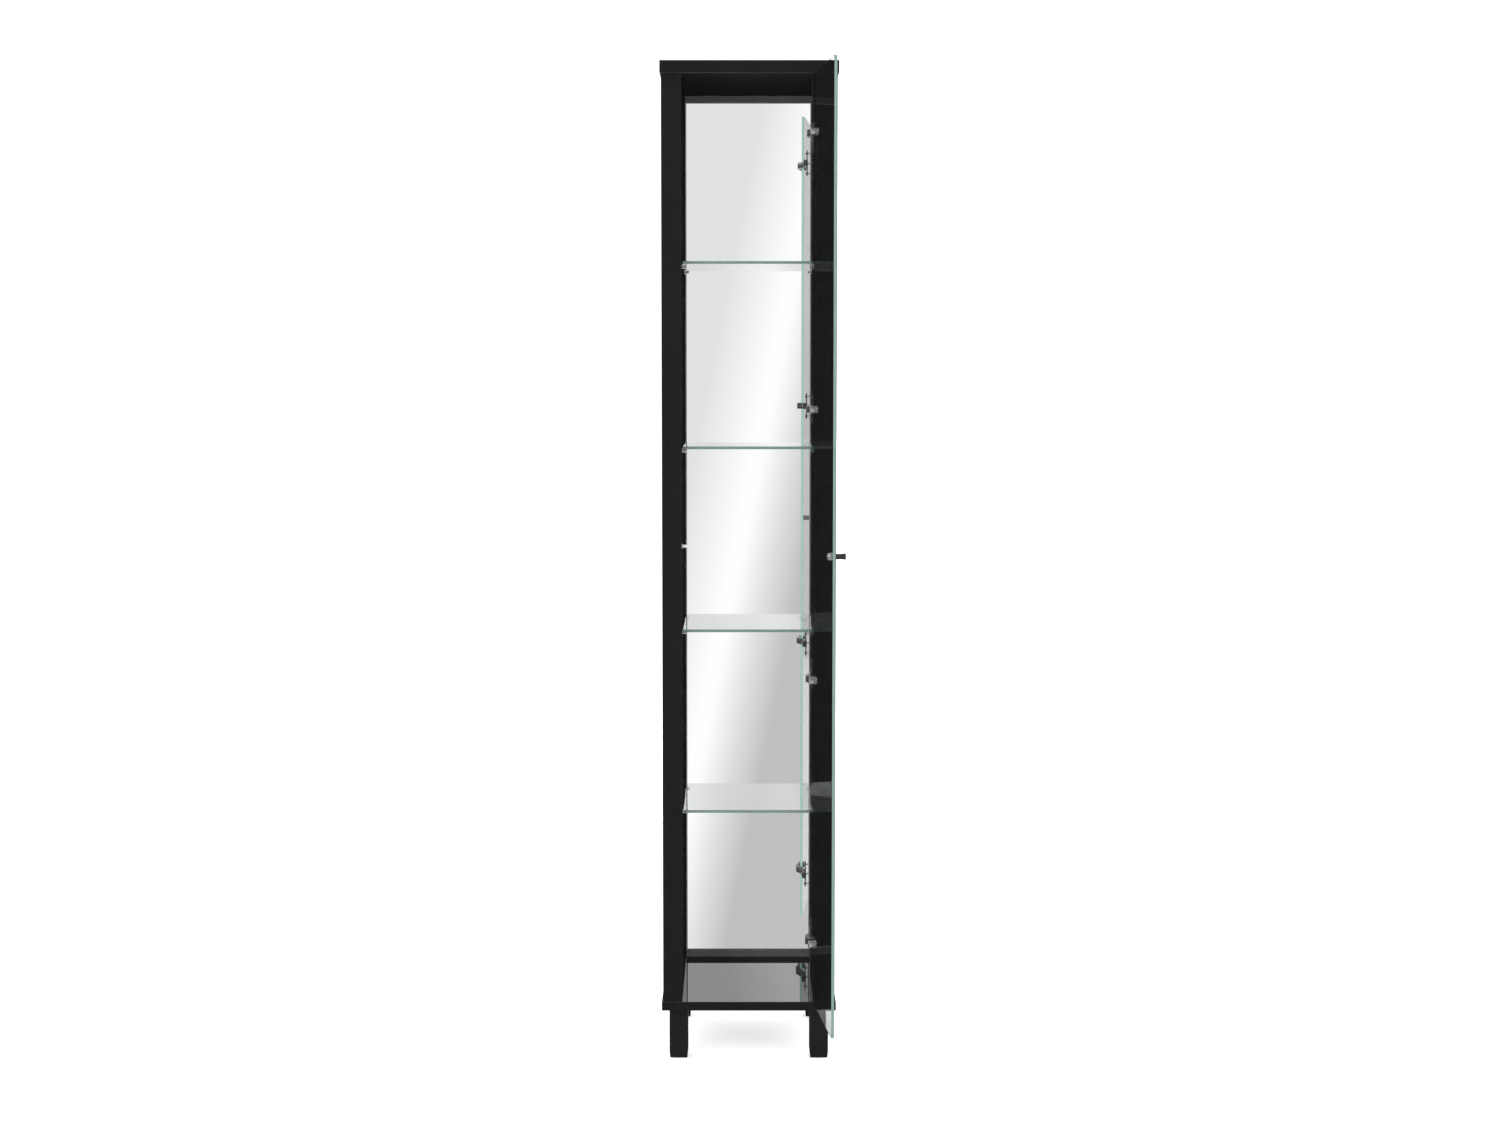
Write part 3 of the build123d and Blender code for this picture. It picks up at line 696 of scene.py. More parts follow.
class SHOWCASE_OT_boards(bpy.types.Operator):
    """Build the top, base, sides and back of the carcass"""

    bl_idname = "showcase.boards"
    bl_label = "Boards"
    bl_options = {"REGISTER", "UNDO"}

    def execute(self, context):
        self.slab("board_top", TOP, "top_board", "black_inner_painted_light", -1)
        self.slab("board_base", BASE, "base_board", "glossy_deck", 1)
        for side, node in zip(SIDES, ("left_side_panel", "right_side_panel")):
            self.side(side, node)
        bm = bmesh.new()
        block(bm, *BACK)
        round_edges(bm, sharp_edges(bm), 0.0004, 2)
        finish_piece("board_back", bm, ["back_board"], "cabinet", ["back_panel"])
        return {"FINISHED"}

    def slab(self, name, box, node, inner, up):
        """A level board with edging, fine joint lines, and its own material on the face inside the cabinet,
        which on the top board is the black with painted light.
        """
        bm = bmesh.new()
        block(bm, *box)
        for f in bm.faces:
            f.material_index = 0 if abs(f.normal.z) > 0.5 else 1
        rims = [f for f in bm.faces if abs(f.normal.z) > 0.5]
        bmesh.ops.inset_individual(bm, faces=rims, thickness=sizes().edging, depth=0)
        for f in bm.faces:
            if abs(f.normal.z) > 0.5:
                f.material_index = (2 if f.normal.z * up > 0 else 0) if f in rims else 1
        slice_mesh(bm, (HALF_IN, 0, 0), (1, 0, 0))
        slice_mesh(bm, (-HALF_IN, 0, 0), (1, 0, 0))
        slice_mesh(bm, (0, FRONT_Y, 0), (0, 1, 0))
        for f in bm.faces:
            spot = f.calc_center_median()
            if f.material_index == 2 and (abs(spot.x) > HALF_IN or spot.y < FRONT_Y):
                f.material_index = 0
        round_edges(bm, sharp_edges(bm), sizes().board_edge)
        piece = finish_piece(
            name, bm, ["black_board", "black_edging", inner], "cabinet", [node]
        )
        tool = bmesh.new()
        profile = [
            (0, -0.0215), (0.0025, -0.0215), (0.0025, -0.004), (0.0045, -0.004), (0.0045, 0.001), (0, 0.001)
        ]
        for place in carcass_screw_places(node):
            turned(tool, profile, place)
        cut(piece, tool)

    def side(self, side, node):
        """A side panel with its rear rebate, edged front, and the recess for the wall fixing plate."""
        low_z, high_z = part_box(node)[0].z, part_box(node)[1].z
        rebate_x = BACK[1].x + 0.0005
        back_y = BACK[0].y
        section = [
            (HALF_IN, FRONT_Y), (HALF_OUT, FRONT_Y), (HALF_OUT, REAR_Y),
            (rebate_x, REAR_Y), (rebate_x, back_y), (HALF_IN, back_y),
        ]
        points = [(side * x, y) for x, y in section]
        bm = bmesh.new()
        place = Matrix.Translation((0, 0, low_z))
        sheet_with_holes(bm, points if side > 0 else points[::-1], [], high_z - low_z, place)
        slice_mesh(bm, (0, FRONT_Y + sizes().edging, 0), (0, 1, 0))
        for f in bm.faces:
            if f.calc_center_median().y < FRONT_Y + sizes().edging:
                f.material_index = 1
            # The inner face takes the black with painted light.
            elif f.normal.x * side < -0.5:
                f.material_index = 2
        upright = [e for e in sharp_edges(bm) if abs((e.verts[0].co - e.verts[1].co).z) > 0.1]
        round_edges(bm, upright, sizes().board_edge)
        piece = finish_piece(
            f"board_{node.replace('_side_panel', '')}", bm, ["black_board", "black_edging", "black_inner_painted_light"],
            "cabinet", [node],
        )
        plate_low, plate_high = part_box("wall_plates")
        x, z = (plate_high.x - 0.009) * side, (plate_low.z + plate_high.z) / 2
        tool = bmesh.new()
        block(tool, (x - 0.0092, plate_low.y - 0.0001, z - 0.0302), (x + 0.0092, REAR_Y + 0.01, z + 0.0302))
        pocket = bmesh.ops.create_cone(
            tool, cap_ends=True, segments=32, radius1=0.006, radius2=0.006, depth=0.0225
        )["verts"]
        bmesh.ops.transform(tool, matrix=on_back(x, plate_low.y, z), verts=pocket)
        cut(piece, tool)


class SHOWCASE_OT_legs(bpy.types.Operator):
    """Build the four tapered legs and their glides"""

    bl_idname = "showcase.legs"
    bl_label = "Legs"
    bl_options = {"REGISTER", "UNDO"}

    def execute(self, context):
        taper_h, taper_in = 0.012, 0.0013
        for node in LEGS:
            low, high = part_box(node)
            bm = bmesh.new()
            block(bm, low, high)
            slice_mesh(bm, (0, 0, low.z + taper_h), (0, 0, 1))
            feet = [v for v in bm.verts if v.co.z < low.z + 1e-5]
            centre = (low + high) / 2
            for axis in (0, 1):
                for v in feet:
                    v.co[axis] += math.copysign(taper_in, centre[axis] - v.co[axis])
            round_edges(bm, sharp_edges(bm, 20), 0.0009)
            finish_piece(f"{node}_post", bm, ["leg_lacquer"], "cabinet", [node])
        bm = bmesh.new()
        profile = [
            (0, 0), (0.0095, 0), (0.0108, 0.0004), (0.011, 0.001), (0.011, 0.002),
            (0.0015, 0.002), (0.0015, 0.0135), (0.001, 0.014), (0, 0.014),
        ]
        for node in LEGS:
            spot = middle(node)
            turned(bm, profile, Matrix.Translation((spot.x, spot.y, GLIDES[0].z)))
        finish_piece(
            "leg_glides", bm, ["black_nylon"], "cabinet", ["foot_glides"], smooth=True
        )
        return {"FINISHED"}


def pane(bm, outline, holes, thickness, place, chamfer):
    """A glass plate: faces in material 0, ground edges in 1, and their arrises in 2."""
    sheet_with_holes(bm, outline, holes, thickness, place)
    bm.normal_update()
    normal = (place.to_3x3() @ Vector((0, 0, 1))).normalized()
    for face in bm.faces:
        face.material_index = 0 if abs(face.normal.dot(normal)) > 0.9 else 1
    rims = [e for e in sharp_edges(bm) if {f.material_index for f in e.link_faces} == {0, 1}]
    round_edges(bm, rims, chamfer, 1, 2)


class SHOWCASE_OT_glass(bpy.types.Operator):
    """Build the mirror and its rails, the shelves and the door glass"""

    bl_idname = "showcase.glass"
    bl_label = "Glass"
    bl_options = {"REGISTER", "UNDO"}

    def execute(self, context):
        for node in SHELVES:
            low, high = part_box(node)
            bm = bmesh.new()
            outline = rounded_outline(low, high, 0.002)
            pane(bm, outline, [], high.z - low.z, Matrix.Translation((0, 0, low.z)), sizes().glass_edge)
            for face in bm.faces:
                if face.material_index and face.calc_center_median().y > low.y + 0.003:
                    face.material_index = 3
            finish_piece(
                f"{node}_pane", bm, ["shelf_glass", "shelf_edge", "glass_arris_painted_shade", "clear_edge"],
                f"{node}_body", [node],
            )
        bm = bmesh.new()
        outline = rounded_outline((GLASS_FAR_U, GLASS_LOW), (GLASS_NEAR_U, GLASS_HIGH), 0.003)
        holes = [(CUP_U, middle(f"{hinge}_pin").z, 0.004, 32) for hinge in HINGES]
        holes.append((KNOB_U, middle("door_knob").z, 0.002, 24))
        pane(
            bm, outline, holes, GLASS_INNER_V - GLASS_OUTER_V, on_door(0, GLASS_INNER_V, 0),
            sizes().glass_edge
        )
        back = DOOR_TURN.inverted()
        for face in bm.faces:
            if face.material_index == 1 and (back @ face.calc_center_median()).x > GLASS_NEAR_U - 0.003:
                face.material_index = 3
        # The hinge-side edge takes the edge with painted glow, and the arris the near-black painted shade.
        edges = ["door_edge", "glass_arris_painted_shade", "hinge_edge_painted_glow"]
        finish_piece("door_pane", bm, ["door_glass", *edges], "door", ["door_glass"])
        bm = bmesh.new()
        block(bm, *MIRROR)
        rims = [e for e in bm.edges if all(v.co.y < MIRROR[0].y + 1e-6 for v in e.verts)]
        round_edges(bm, rims, sizes().mirror_bevel, 1, 1)
        finish_piece(
            "mirror_pane", bm, ["mirror_face", "mirror_bevel"], "cabinet", ["mirror"]
        )
        for node in ("mirror_top_rail", "mirror_bottom_rail"):
            bm = bmesh.new()
            block(bm, *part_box(node))
            round_edges(bm, sharp_edges(bm), 0.0006)
            finish_piece(f"{node}_strip", bm, ["rail_black_painted_light"], "cabinet", [node])
        return {"FINISHED"}


class SHOWCASE_OT_fittings(bpy.types.Operator):
    """Build the shelf pins with their sleeves, the door knob and the catch"""

    bl_idname = "showcase.fittings"
    bl_label = "Fittings"
    bl_options = {"REGISTER", "UNDO"}

    def execute(self, context):
        self.pins()
        self.knob()
        low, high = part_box("door_catch")
        place = on_wall(-1, (low.y + high.y) / 2, (low.z + high.z) / 2)
        bm = bmesh.new()
        flange = [
            (0, -0.010), (0.002, -0.010), (0.002, 0), (0.0034, 0), (0.004, 0.0005), (0.004, 0.0018),
            (0.0036, 0.0024), (0.0029, 0.0025), (0.002, 0.0027), (0.002, 0.0093), (0.0018, 0.0095),
            (0, 0.0095),
        ]
        turned(bm, flange, place)
        finish_piece("catch_post", bm, ["chrome"], "cabinet", ["door_catch"], smooth=True)
        bm = bmesh.new()
        sleeve = [
            (0.002, 0.0027), (0.00255, 0.0027), (0.00275, 0.003), (0.00275, 0.0091), (0.0024, 0.0095),
            (0.002, 0.0095),
        ]
        turned(bm, sleeve, place, closed=True)
        finish_piece("catch_sleeve", bm, ["pale_nylon"], "cabinet", ["catch_tip"], smooth=True)
        return {"FINISHED"}

    def pins(self):
        """Four steel pins under each shelf, and a clear sleeve with a flat top on each."""
        pin = [
            (0, -0.010), (0.0021, -0.010), (0.0025, -0.0096), (0.0025, 0.0084), (0.0022, 0.0089),
            (0.0017, 0.009),
            (0, 0.009),
        ]
        sleeve = [
            (0.0025, 0.0002), (0.0033, 0.0002), (0.0035, 0.0004), (0.0035, 0.0076), (0.0033, 0.0079),
            (0.0025, 0.0079),
        ]
        sleeves = bmesh.new()
        for shelf in SHELVES:
            low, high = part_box(f"{shelf}_pins")
            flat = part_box(shelf)[0].z
            bm = bmesh.new()
            for side in SIDES:
                for y in (low.y + 0.0025, high.y - 0.0025):
                    place = on_wall(side, y, (low.z + high.z) / 2)
                    turned(bm, pin, place)
                    part = bmesh.new()
                    turned(part, sleeve, place, closed=True)
                    slice_mesh(part, (0, 0, flat - 0.00001), (0, 0, 1), clear_outer=True)
                    bmesh.ops.holes_fill(part, edges=part.edges, sides=0)
                    add_part(sleeves, part, Matrix())
            finish_piece(
                f"{shelf}_steel_pins", bm, ["zinc_steel"], "cabinet", [f"{shelf}_pins"], smooth=True
            )
        finish_piece(
            "pin_sleeves", sleeves, ["clear_sleeve"], "cabinet", ["shelf_pin_sleeves"],
            smooth=True,
        )

    def knob(self):
        """Black knob outside, nylon washer, and a domed chrome cap inside."""
        z = middle("door_knob").z
        outer = on_door(KNOB_U, GLASS_OUTER_V, z)
        inner = on_door(KNOB_U, GLASS_INNER_V, z) @ Matrix.Rotation(math.pi, 4, "Y")
        bm = bmesh.new()
        profile = [(0.002, 0.0005), (0.0055, 0.0005), (0.0059, 0.0007)]
        for degrees in range(-60, 50, 10):
            along = math.sin(math.radians(degrees)) / 0.8660254
            profile.append((0.00475 + 0.00125 * along**2, 0.01075 + 0.0098 * along))
        profile += [
            (0.006, 0.0195), (0.00585, 0.0199), (0.0054, 0.0203), (0.0048, 0.0205), (0, 0.0204), (0, 0.0111),
            (0.002, 0.0111)
        ]
        turned(bm, profile, outer, closed=True)
        finish_piece("knob_turning", bm, ["knob_black"], "door", ["door_knob"], smooth=True)
        bm = bmesh.new()
        washer = [(0.0021, 0.0), (0.005, 0.0), (0.005, 0.0005), (0.0021, 0.0005)]
        turned(bm, washer, outer, closed=True)
        finish_piece("knob_nylon_washer", bm, ["black_nylon"], "door", ["knob_washer"])
        bm = bmesh.new()
        cap = [
            (0, -0.016), (0.0017, -0.016), (0.002, -0.0157), (0.002, 0), (0.0061, 0), (0.0065, 0.0004),
            (0.0065, 0.0015), (0.0063, 0.0019), (0.0061, 0.0021), (0.0061, 0.0024), (0.0063, 0.0026),
            (0.0062, 0.0032), (0.0057, 0.0043), (0.0048, 0.0053), (0.0036, 0.006), (0.0019, 0.0064),
            (0, 0.0065),
        ]
        turned(bm, cap, inner)
        finish_piece("knob_inner_cap", bm, ["chrome"], "door", ["knob_cap"], smooth=True)


def pan_head(length, reach):
    """Profile of a pan-head screw seated at local Z = 0, with its shank below."""
    return [
        (0, -length), (reach * 0.5, -length), (reach, -length + 0.0015), (reach, 0), (0.0031, 0),
        (0.00325, 0.0003),
        (0.00322, 0.0008), (0.0030, 0.0013), (0.0025, 0.0017), (0.0017, 0.00195), (0, 0.002),
    ]


class SHOWCASE_OT_hinges(bpy.types.Operator):
    """Build the four hinges: wall plate, arm, pin, glass cup, outer cap, bushes and screws"""

    bl_idname = "showcase.hinges"
    bl_label = "Hinges"
    bl_options = {"REGISTER", "UNDO"}

    def execute(self, context):
        bushes, plate_screws, arm_screws = bmesh.new(), bmesh.new(), bmesh.new()
        plate_tool, arm_tool = bmesh.new(), bmesh.new()
        for hinge in HINGES:
            z = middle(f"{hinge}_pin").z
            self.plate(hinge, z)
            self.arm(hinge, z)
            self.cup(hinge, z)
            self.cap(hinge, z)
            ring = [(0.0026, 0.0001), (0.004, 0.0001), (0.004, 0.0049), (0.0026, 0.0049)]
            turned(bushes, ring, on_door(CUP_U, GLASS_INNER_V, z), closed=True)
            wall = on_wall(1, middle(f"{hinge}_plate").y, z)
            for rise in (-0.02, 0.02):
                seat = wall @ Matrix.Translation((0, rise, 0.002))
                turned(plate_screws, pan_head(0.016, 0.00175), seat)
                cross_cutter(plate_tool, seat @ Matrix.Translation((0, 0, 0.0021)), 0.0017, 0.0006, 0.0013)
            seat = wall @ Matrix.Translation((0, 0, 0.008))
            turned(arm_screws, pan_head(0.020, 0.002), seat)
            cross_cutter(arm_tool, seat @ Matrix.Translation((0, 0, 0.0021)), 0.0018, 0.0006, 0.0013)
        finish_piece(
            "hinge_bushes", bushes, ["black_nylon"], "door", ["hinge_glass_bushes"],
            smooth=True
        )
        screw_piece("plate_screws", plate_screws, "hinge_plate_screws", plate_tool)
        screw_piece("arm_screws", arm_screws, "hinge_arm_screws", arm_tool)
        return {"FINISHED"}

    def plate(self, hinge, z):
        """Cross-shaped wall plate, stamped, with soft edges and two holes."""
        bm = bmesh.new()
        w, h, fw, fh = 0.006, 0.026, 0.017, 0.008
        outline = [
            (w, -h), (w, -fh), (fw, -fh), (fw, fh), (w, fh), (w, h), (-w, h), (-w, fh), (-fw, fh), (-fw, -fh),
            (-w, -fh), (-w, -h),
        ]
        part = bmesh.new()
        edge_layer(part)
        sheet_with_holes(part, outline, [(0, -0.02, 0.00178, 24), (0, 0.02, 0.00178, 24)], 0.002, Matrix())
        corners = []
        for e in sharp_edges(part, 60):
            start, end = (v.co for v in e.verts)
            from_hole = math.hypot(start.x, abs(start.y) - 0.02)
            if abs(start.z - end.z) > 0.001 and abs(from_hole - 0.00178) > 1e-5:
                corners.append(e)
        round_edges(part, corners, 0.002, 5)
        rims = [e for e in sharp_edges(part) if all(v.co.z > 0.0019 for v in e.verts)]
        round_edges(part, rims, sizes().metal_edge, 2)
        add_part(bm, part, on_wall(1, middle(f"{hinge}_plate").y, z))
        finish_piece(
            f"{hinge}_wall_plate", bm, ["hinge_metal"], "cabinet", [f"{hinge}_plate"],
            smooth=True
        )

    def arm(self, hinge, z):
        """Cast arm, bent towards the door, that ends in a fork round the pin."""
        bm = bmesh.new()
        web = [
            (0.119, -0.064), (0.113, -0.064), (0.113, -0.102), (0.1026, -0.122), (0.1026, -0.1424),
            (0.1094, -0.1424), (0.1094, -0.130), (0.119, -0.102),
        ]
        raised(bm, web, [], 0.0117, Matrix.Translation((0, 0, z - 0.00585)), 0.0011, 0.0005)
        ear = [(0.1026 + 0.0038, -0.1415)] + arc(PIVOT.x, PIVOT.y, 0.0026, 180, 360, 12)
        ear += [(0.1094, -0.1436), (0.1094, -0.1415)]
        for low in (-0.00585, 0.00285):
            hole = [(PIVOT.x, PIVOT.y, 0.00152, 24)]
            raised(bm, ear, hole, 0.003, Matrix.Translation((0, 0, z + low)), 0, 0.0002)
        finish_piece(
            f"{hinge}_cast_arm", bm, ["hinge_metal"], "cabinet", [f"{hinge}_arm"], smooth=True
        )
        bm = bmesh.new()
        pin = [
            (0, -0.00585), (0.0012, -0.00585), (0.0015, -0.0056), (0.0015, 0.0056), (0.0012, 0.00585),
            (0, 0.00585),
        ]
        turned(bm, pin, Matrix.Translation((PIVOT.x, PIVOT.y, z)))
        finish_piece(f"{hinge}_axle", bm, ["zinc_steel"], "cabinet", [f"{hinge}_pin"], smooth=True)

    def cup(self, hinge, z):
        """Ribbed round cup on the inner side of the glass, with a tongue to the pin."""
        bm = bmesh.new()
        inner = on_door(CUP_U, GLASS_INNER_V, z) @ Matrix.Rotation(math.pi, 4, "Y")
        boss = [(0, 0), (0.0062, 0), (0.0065, 0.0003)]
        for n in range(3):
            rib = 0.0012 + 0.0016 * n
            boss += [(0.0065, rib), (0.0061, rib + 0.0002), (0.0061, rib + 0.0005), (0.0065, rib + 0.0007)]
        boss += [
            (0.0065, 0.0062), (0.0063, 0.0067), (0.0058, 0.007), (0.0044, 0.007), (0.0042, 0.0067),
            (0, 0.0067)
        ]
        turned(bm, boss, inner)
        tongue = [(-0.0135, 0.0025), (-0.0135, -0.0025)] + arc(0, 0, 0.0025, 270, 450, 14)
        place = DOOR_TURN @ Matrix.Translation((0, 0, z - 0.0025))
        raised(bm, tongue, [(0, 0, 0.00158, 24)], 0.005, place, 0, 0.0003)
        finish_piece(f"{hinge}_ribbed_cup", bm, ["chrome"], "door", [f"{hinge}_cup"], smooth=True)

    def cap(self, hinge, z):
        """Round cap outside the glass with its stud through the bush."""
        bm = bmesh.new()
        profile = [
            (0, -0.0095), (0.0022, -0.0095), (0.0025, -0.0092), (0.0025, 0), (0.0057, 0), (0.006, 0.0003),
            (0.006, 0.0012), (0.0057, 0.0017), (0.0051, 0.00195), (0.0045, 0.002), (0, 0.00185),
        ]
        turned(bm, profile, on_door(CUP_U, GLASS_OUTER_V, z))
        finish_piece(
            f"{hinge}_outer_cap", bm, ["hinge_metal"], "door", [f"{hinge}_cap"], smooth=True
        )


class SHOWCASE_OT_fixings(bpy.types.Operator):
    """Build the carcass and back screws and the wall plates, and finish the hidden hardware"""

    bl_idname = "showcase.fixings"
    bl_label = "Fixings"
    bl_options = {"REGISTER", "UNDO"}

    def execute(self, context):
        bm, tool = bmesh.new(), bmesh.new()
        head = [
            (0, -0.050), (0.0012, -0.050), (0.0025, -0.047), (0.0025, -0.004), (0.0044, -0.0008),
            (0.00445, -0.0003),
            (0.0042, -0.0001), (0, -0.0001),
        ]
        for node in ("top_board", "base_board"):
            for place in carcass_screw_places(node):
                turned(bm, head, place)
                socket = arc(0, 0, 0.0023, 0, 300, 5)
                raised(tool, socket, [], 0.0035, place @ Matrix.Translation((0, 0, -0.003)))
        screw_piece("confirmat_screws", bm, "carcass_screws", tool)
        bm, tool = bmesh.new(), bmesh.new()
        low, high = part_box("back_panel_screws")
        head = [
            (0, -0.018), (0.0008, -0.018), (0.0015, -0.0165), (0.0015, 0), (0.003, 0), (0.00325, 0.0002),
            (0.0031, 0.0007), (0.0025, 0.0012), (0.0015, 0.00145), (0, 0.0015),
        ]
        gap = (high.z - low.z - 0.0065) / 5
        for side in SIDES:
            for row in range(6):
                place = on_back(side * 0.125, high.y - 0.0015, low.z + 0.00325 + row * gap)
                turned(bm, head, place)
                cross_cutter(tool, place @ Matrix.Translation((0, 0, 0.0016)), 0.0017, 0.0006, 0.0011)
        screw_piece("back_screws", bm, "back_panel_screws", tool)
        self.wall_plates()
        nodes = frame["nodes"]
        for name, material in (
            ("carcass_dowels", "beech"), ("leg_bolts", "zinc_steel"), ("leg_inserts", "zinc_steel")
        ):
            nodes[name].data.materials.clear()
            nodes[name].data.materials.append(MATERIALS[material])
        return {"FINISHED"}

    def wall_plates(self):
        """Two fixing plates let into the rear edges, with two screws each and a hole for a wall bolt."""
        low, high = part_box("wall_plates")
        z = (low.z + high.z) / 2
        plates, screws, tool = bmesh.new(), bmesh.new(), bmesh.new()
        for side in SIDES:
            place = on_back(side * (high.x - 0.009), low.y, z)
            outline = [(0.009, -0.03), (0.009, 0.03), (-0.009, 0.03), (-0.009, -0.03)]
            holes = [(0, 0, 0.00275, 32), (0, -0.022, 0.00325, 24), (0, 0.022, 0.00325, 24)]
            raised(plates, outline, holes, high.y - low.y, place, 0, 0.00025)
            for rise in (-0.022, 0.022):
                head = [
                    (0, -0.014), (0.0008, -0.014), (0.00175, -0.012), (0.00175, 0.0004), (0.0031, 0.0017),
                    (0.0031, 0.0019), (0, 0.0019),
                ]
                seat = place @ Matrix.Translation((0, rise, 0))
                turned(screws, head, seat)
                cross_cutter(tool, seat @ Matrix.Translation((0, 0, 0.002)), 0.0018, 0.0006, 0.0014)
        finish_piece(
            "wall_fixing_plates", plates, ["zinc_steel"], "cabinet", ["wall_plates"], smooth=True
        )
        screw_piece("wall_fixing_screws", screws, "wall_plate_screws", tool)


class SHOWCASE_OT_stage(bpy.types.Operator):
    """Build the floor, the lights, the reflector and the camera"""

    bl_idname = "showcase.stage"
    bl_label = "Stage"
    bl_options = {"REGISTER", "UNDO"}

    def execute(self, context):
        scene = bpy.context.scene
        scene.view_settings.view_transform = "Standard"
        world = bpy.data.worlds.new("studio")
        world.use_nodes = True
        tree = world.node_tree
        shader = tree.nodes["Background"]
        shader.inputs["Color"].default_value = (1, 1, 1, 1)
        path = tree.nodes.new("ShaderNodeLightPath")
        reflected = math_node(tree, "GREATER_THAN", path.outputs["Glossy Depth"], 0.5)
        direct, mirrored = 1.5, 0.5
        level = math_node(tree, "MULTIPLY", reflected, mirrored - direct)
        tree.links.new(math_node(tree, "ADD", level, direct), shader.inputs["Strength"])
        scene.world = world
        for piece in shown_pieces():
            if piece.name.startswith(
                ("board_", "leg_", "shelf_", "pin_", "catch_", "confirmat_", "back_", "wall_")
            ):
                piece.visible_glossy = False
        self.floor()
        self.reflector()
        self.lamp("key", (-2.2, -3.0, 3.4), 2.6, 45.0)
        self.lamp("fill", (2.6, -2.4, 2.2), 2.2, 22.0)
        self.lamp("rear", (0.6, 3.0, 3.2), 2.4, 20.0)
        self.camera()
        return {"FINISHED"}

    def floor(self):
        bm = bmesh.new()
        bmesh.ops.create_circle(bm, cap_ends=True, radius=40, segments=96)
        mesh = bpy.data.meshes.new("floor")
        bm.to_mesh(mesh)
        bm.free()
        material, tree, shader = new_material("floor", Specular_IOR_Level=0.0)
        mottle = use_group(tree, "mottle", Broad=2.0, Fine=60.0)
        pale = mix_colour(tree, mottle.outputs["Cloud"], (0.95, 0.95, 0.95), (0.97, 0.97, 0.97))
        tree.links.new(pale, shader.inputs["Base Color"])
        shader.inputs["Roughness"].default_value = 0.9
        path = tree.nodes.new("ShaderNodeLightPath")
        lift = mix_colour(tree, path.outputs["Is Diffuse Ray"], (1, 1, 1), (0, 0, 0))
        tree.links.new(lift, shader.inputs["Emission Color"])
        shader.inputs["Emission Strength"].default_value = 0.5
        mesh.materials.append(material)
        floor = bpy.data.objects.new("floor", mesh)
        bpy.context.scene.collection.objects.link(floor)
        floor.visible_glossy = False
        floor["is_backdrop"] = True

    def card(self, name, low, high, y, bounces):
        """An upright card facing the cabinet, seen only after so many reflections; returns its glow."""
        bm = bmesh.new()
        bmesh.ops.create_grid(bm, x_segments=1, y_segments=1, size=0.5)
        bmesh.ops.rotate(bm, verts=bm.verts, matrix=Matrix.Rotation(math.radians(90), 3, "X"))
        bmesh.ops.scale(bm, verts=bm.verts, vec=(high[0] - low[0], 1, high[1] - low[1]))
        bmesh.ops.translate(bm, verts=bm.verts, vec=((low[0] + high[0]) / 2, y, (low[1] + high[1]) / 2))
        mesh = bpy.data.meshes.new(name)
        bm.to_mesh(mesh)
        bm.free()
        material = bpy.data.materials.new(name)
        material.use_nodes = True
        tree = material.node_tree
        tree.nodes.clear()
        glow = tree.nodes.new("ShaderNodeEmission")
        clear = tree.nodes.new("ShaderNodeBsdfTransparent")
        either = tree.nodes.new("ShaderNodeMixShader")
        output = tree.nodes.new("ShaderNodeOutputMaterial")
        path = tree.nodes.new("ShaderNodeLightPath")
        reflected = math_node(tree, "GREATER_THAN", path.outputs["Glossy Depth"], bounces - 0.5)
        tree.links.new(reflected, either.inputs[0])
        tree.links.new(clear.outputs["BSDF"], either.inputs[1])
        tree.links.new(glow.outputs["Emission"], either.inputs[2])
        tree.links.new(either.outputs["Shader"], output.inputs["Surface"])
        mesh.materials.append(material)
        card = bpy.data.objects.new(name, mesh)
        bpy.context.scene.collection.objects.link(card)
        card.visible_camera = False
        card.visible_diffuse = False
        card.visible_shadow = False
        card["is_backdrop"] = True
        return tree, glow

    def reflector(self):
        """A graded card behind the camera for the mirror's slanting sheen, and two dark flags."""
        tree, glow = self.card("reflector", (-0.7, -1.9), (0.8, 3.2), -5.0, 1)
        place = tree.nodes.new("ShaderNodeTexCoord")
        split = tree.nodes.new("ShaderNodeSeparateXYZ")
        tree.links.new(place.outputs["Object"], split.inputs[0])
        slant = math_node(tree, "MULTIPLY", split.outputs["Z"], -0.2)
        across = math_node(tree, "ADD", split.outputs["X"], slant)
        along = math_node(tree, "MULTIPLY", across, 0.4353 / 0.5)
        level = math_node(tree, "ADD", along, (0.0276 + 0.27) / 0.5)
        stops = [(0.25, 0.81), (0.48, 1.06), (0.52, 1.05), (0.64, 0.78), (0.76, 0.56)]
        tree.links.new(ramp(tree, level, stops), glow.inputs["Color"])
        flags = [("flag_front", (-2.6, -4), (-0.9, 4), -5.0, 2), ("flag_rear", (-2.2, -4), (-0.4, 5), 4.0, 1)]
        for name, low, high, y, bounces in flags:
            tree, glow = self.card(name, low, high, y, bounces)
            glow.inputs["Color"].default_value = (0.01, 0.01, 0.01, 1)

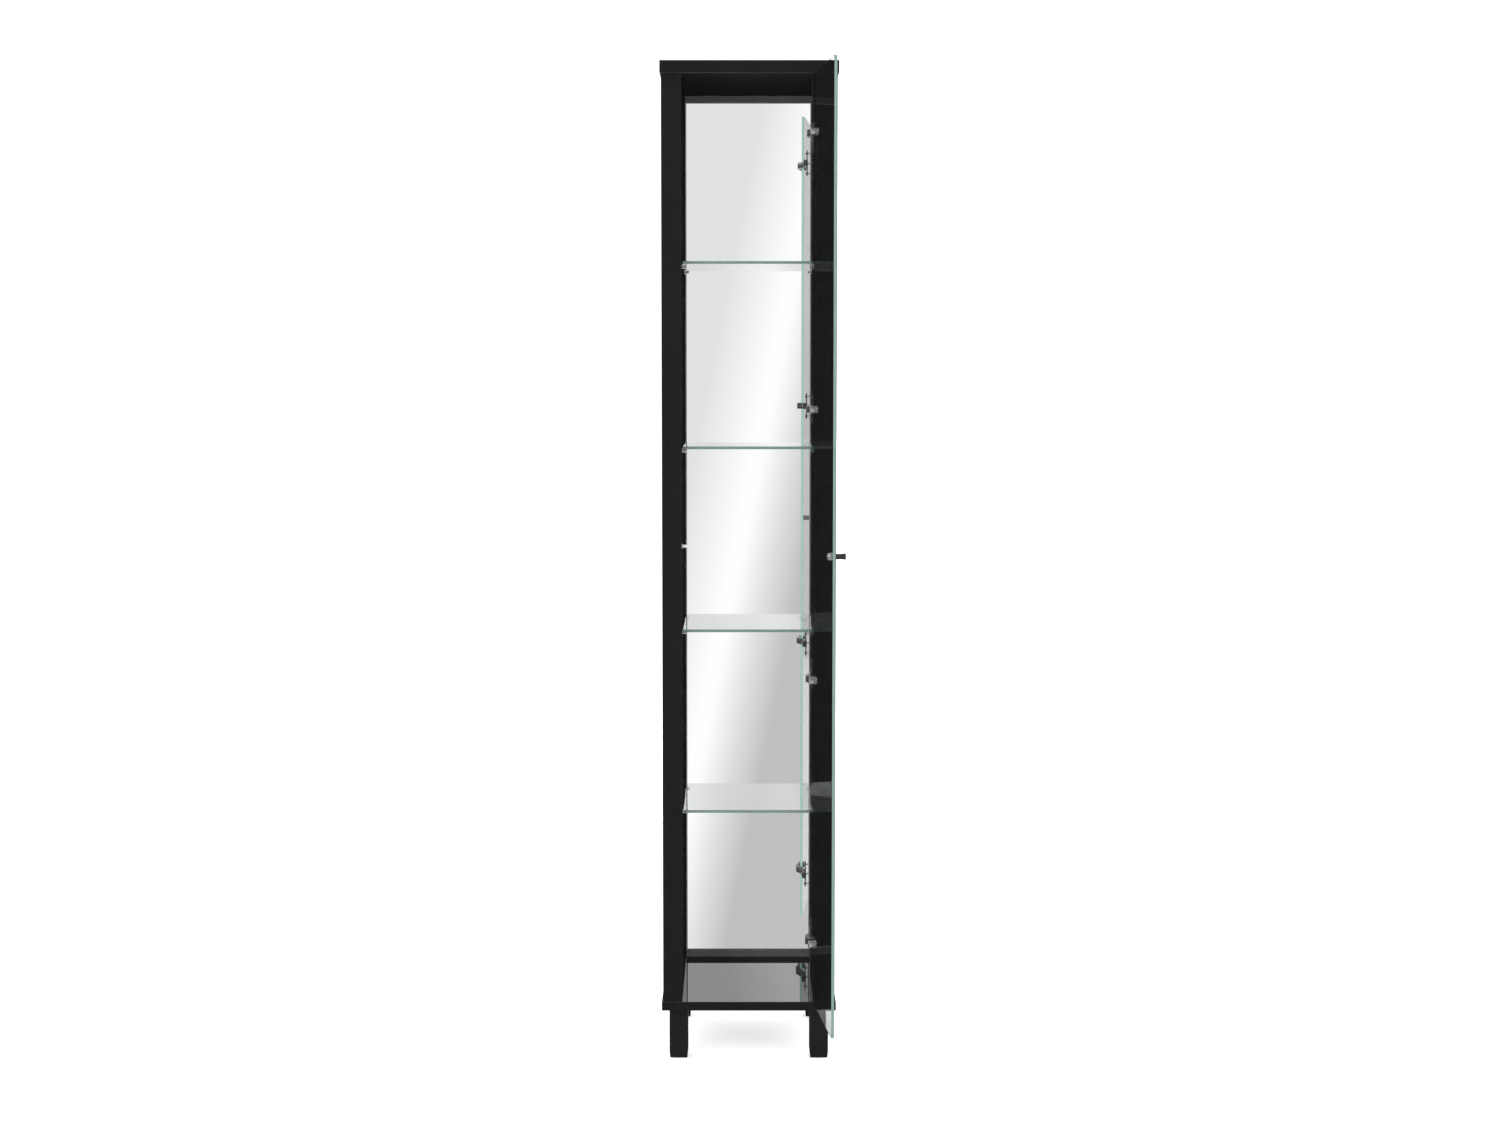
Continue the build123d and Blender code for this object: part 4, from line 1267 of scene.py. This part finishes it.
    def lamp(self, name, spot, size, power):
        """A soft square lamp aimed at the middle of the cabinet."""
        light = bpy.data.lights.new(name, "AREA")
        light.shape = "SQUARE"
        light.size = size
        light.energy = power
        lamp = bpy.data.objects.new(name, light)
        lamp.location = spot
        aim = Vector((0, 0, 0.9)) - Vector(spot)
        lamp.rotation_euler = aim.to_track_quat("-Z", "Y").to_euler()
        bpy.context.scene.collection.objects.link(lamp)

    def camera(self):
        data = bpy.data.cameras.new("camera")
        data.lens = 49.3
        data.shift_x = 0.009
        data.shift_y = -0.02
        camera = bpy.data.objects.new("camera", data)
        camera.location = (-0.0225, -3.821, 1.237)
        camera.rotation_euler = (math.radians(90 - 4.22), 0, 0)
        bpy.context.scene.collection.objects.link(camera)
        bpy.context.scene.camera = camera


class SHOWCASE_PT_panel(bpy.types.Panel):
    """Showcase pieces and settings"""

    bl_label = "Showcase"
    bl_idname = "SHOWCASE_PT_panel"
    bl_space_type = "VIEW_3D"
    bl_region_type = "UI"
    bl_category = "Showcase"

    def draw(self, context):
        for settings in (context.scene.showcase_sizes, context.scene.showcase_colours):
            for name in settings.__annotations__:
                self.layout.prop(settings, name)
        for operator in OPERATORS:
            self.layout.operator(operator.bl_idname)


OPERATORS = [
    SHOWCASE_OT_materials,
    SHOWCASE_OT_boards,
    SHOWCASE_OT_legs,
    SHOWCASE_OT_glass,
    SHOWCASE_OT_fittings,
    SHOWCASE_OT_hinges,
    SHOWCASE_OT_fixings,
    SHOWCASE_OT_stage,
]
CLASSES = [ShowcaseSizes, ShowcaseColours, *OPERATORS, SHOWCASE_PT_panel]


def register():
    for cls in CLASSES:
        bpy.utils.register_class(cls)
    bpy.types.Scene.showcase_sizes = bpy.props.PointerProperty(type=ShowcaseSizes)
    bpy.types.Scene.showcase_colours = bpy.props.PointerProperty(type=ShowcaseColours)


def unregister():
    del bpy.types.Scene.showcase_colours
    del bpy.types.Scene.showcase_sizes
    for cls in reversed(CLASSES):
        bpy.utils.unregister_class(cls)


def main():
    register()
    for operator in OPERATORS:
        group, name = operator.bl_idname.split(".")
        getattr(getattr(bpy.ops, group), name)()


if __name__ == "__main__":
    main()
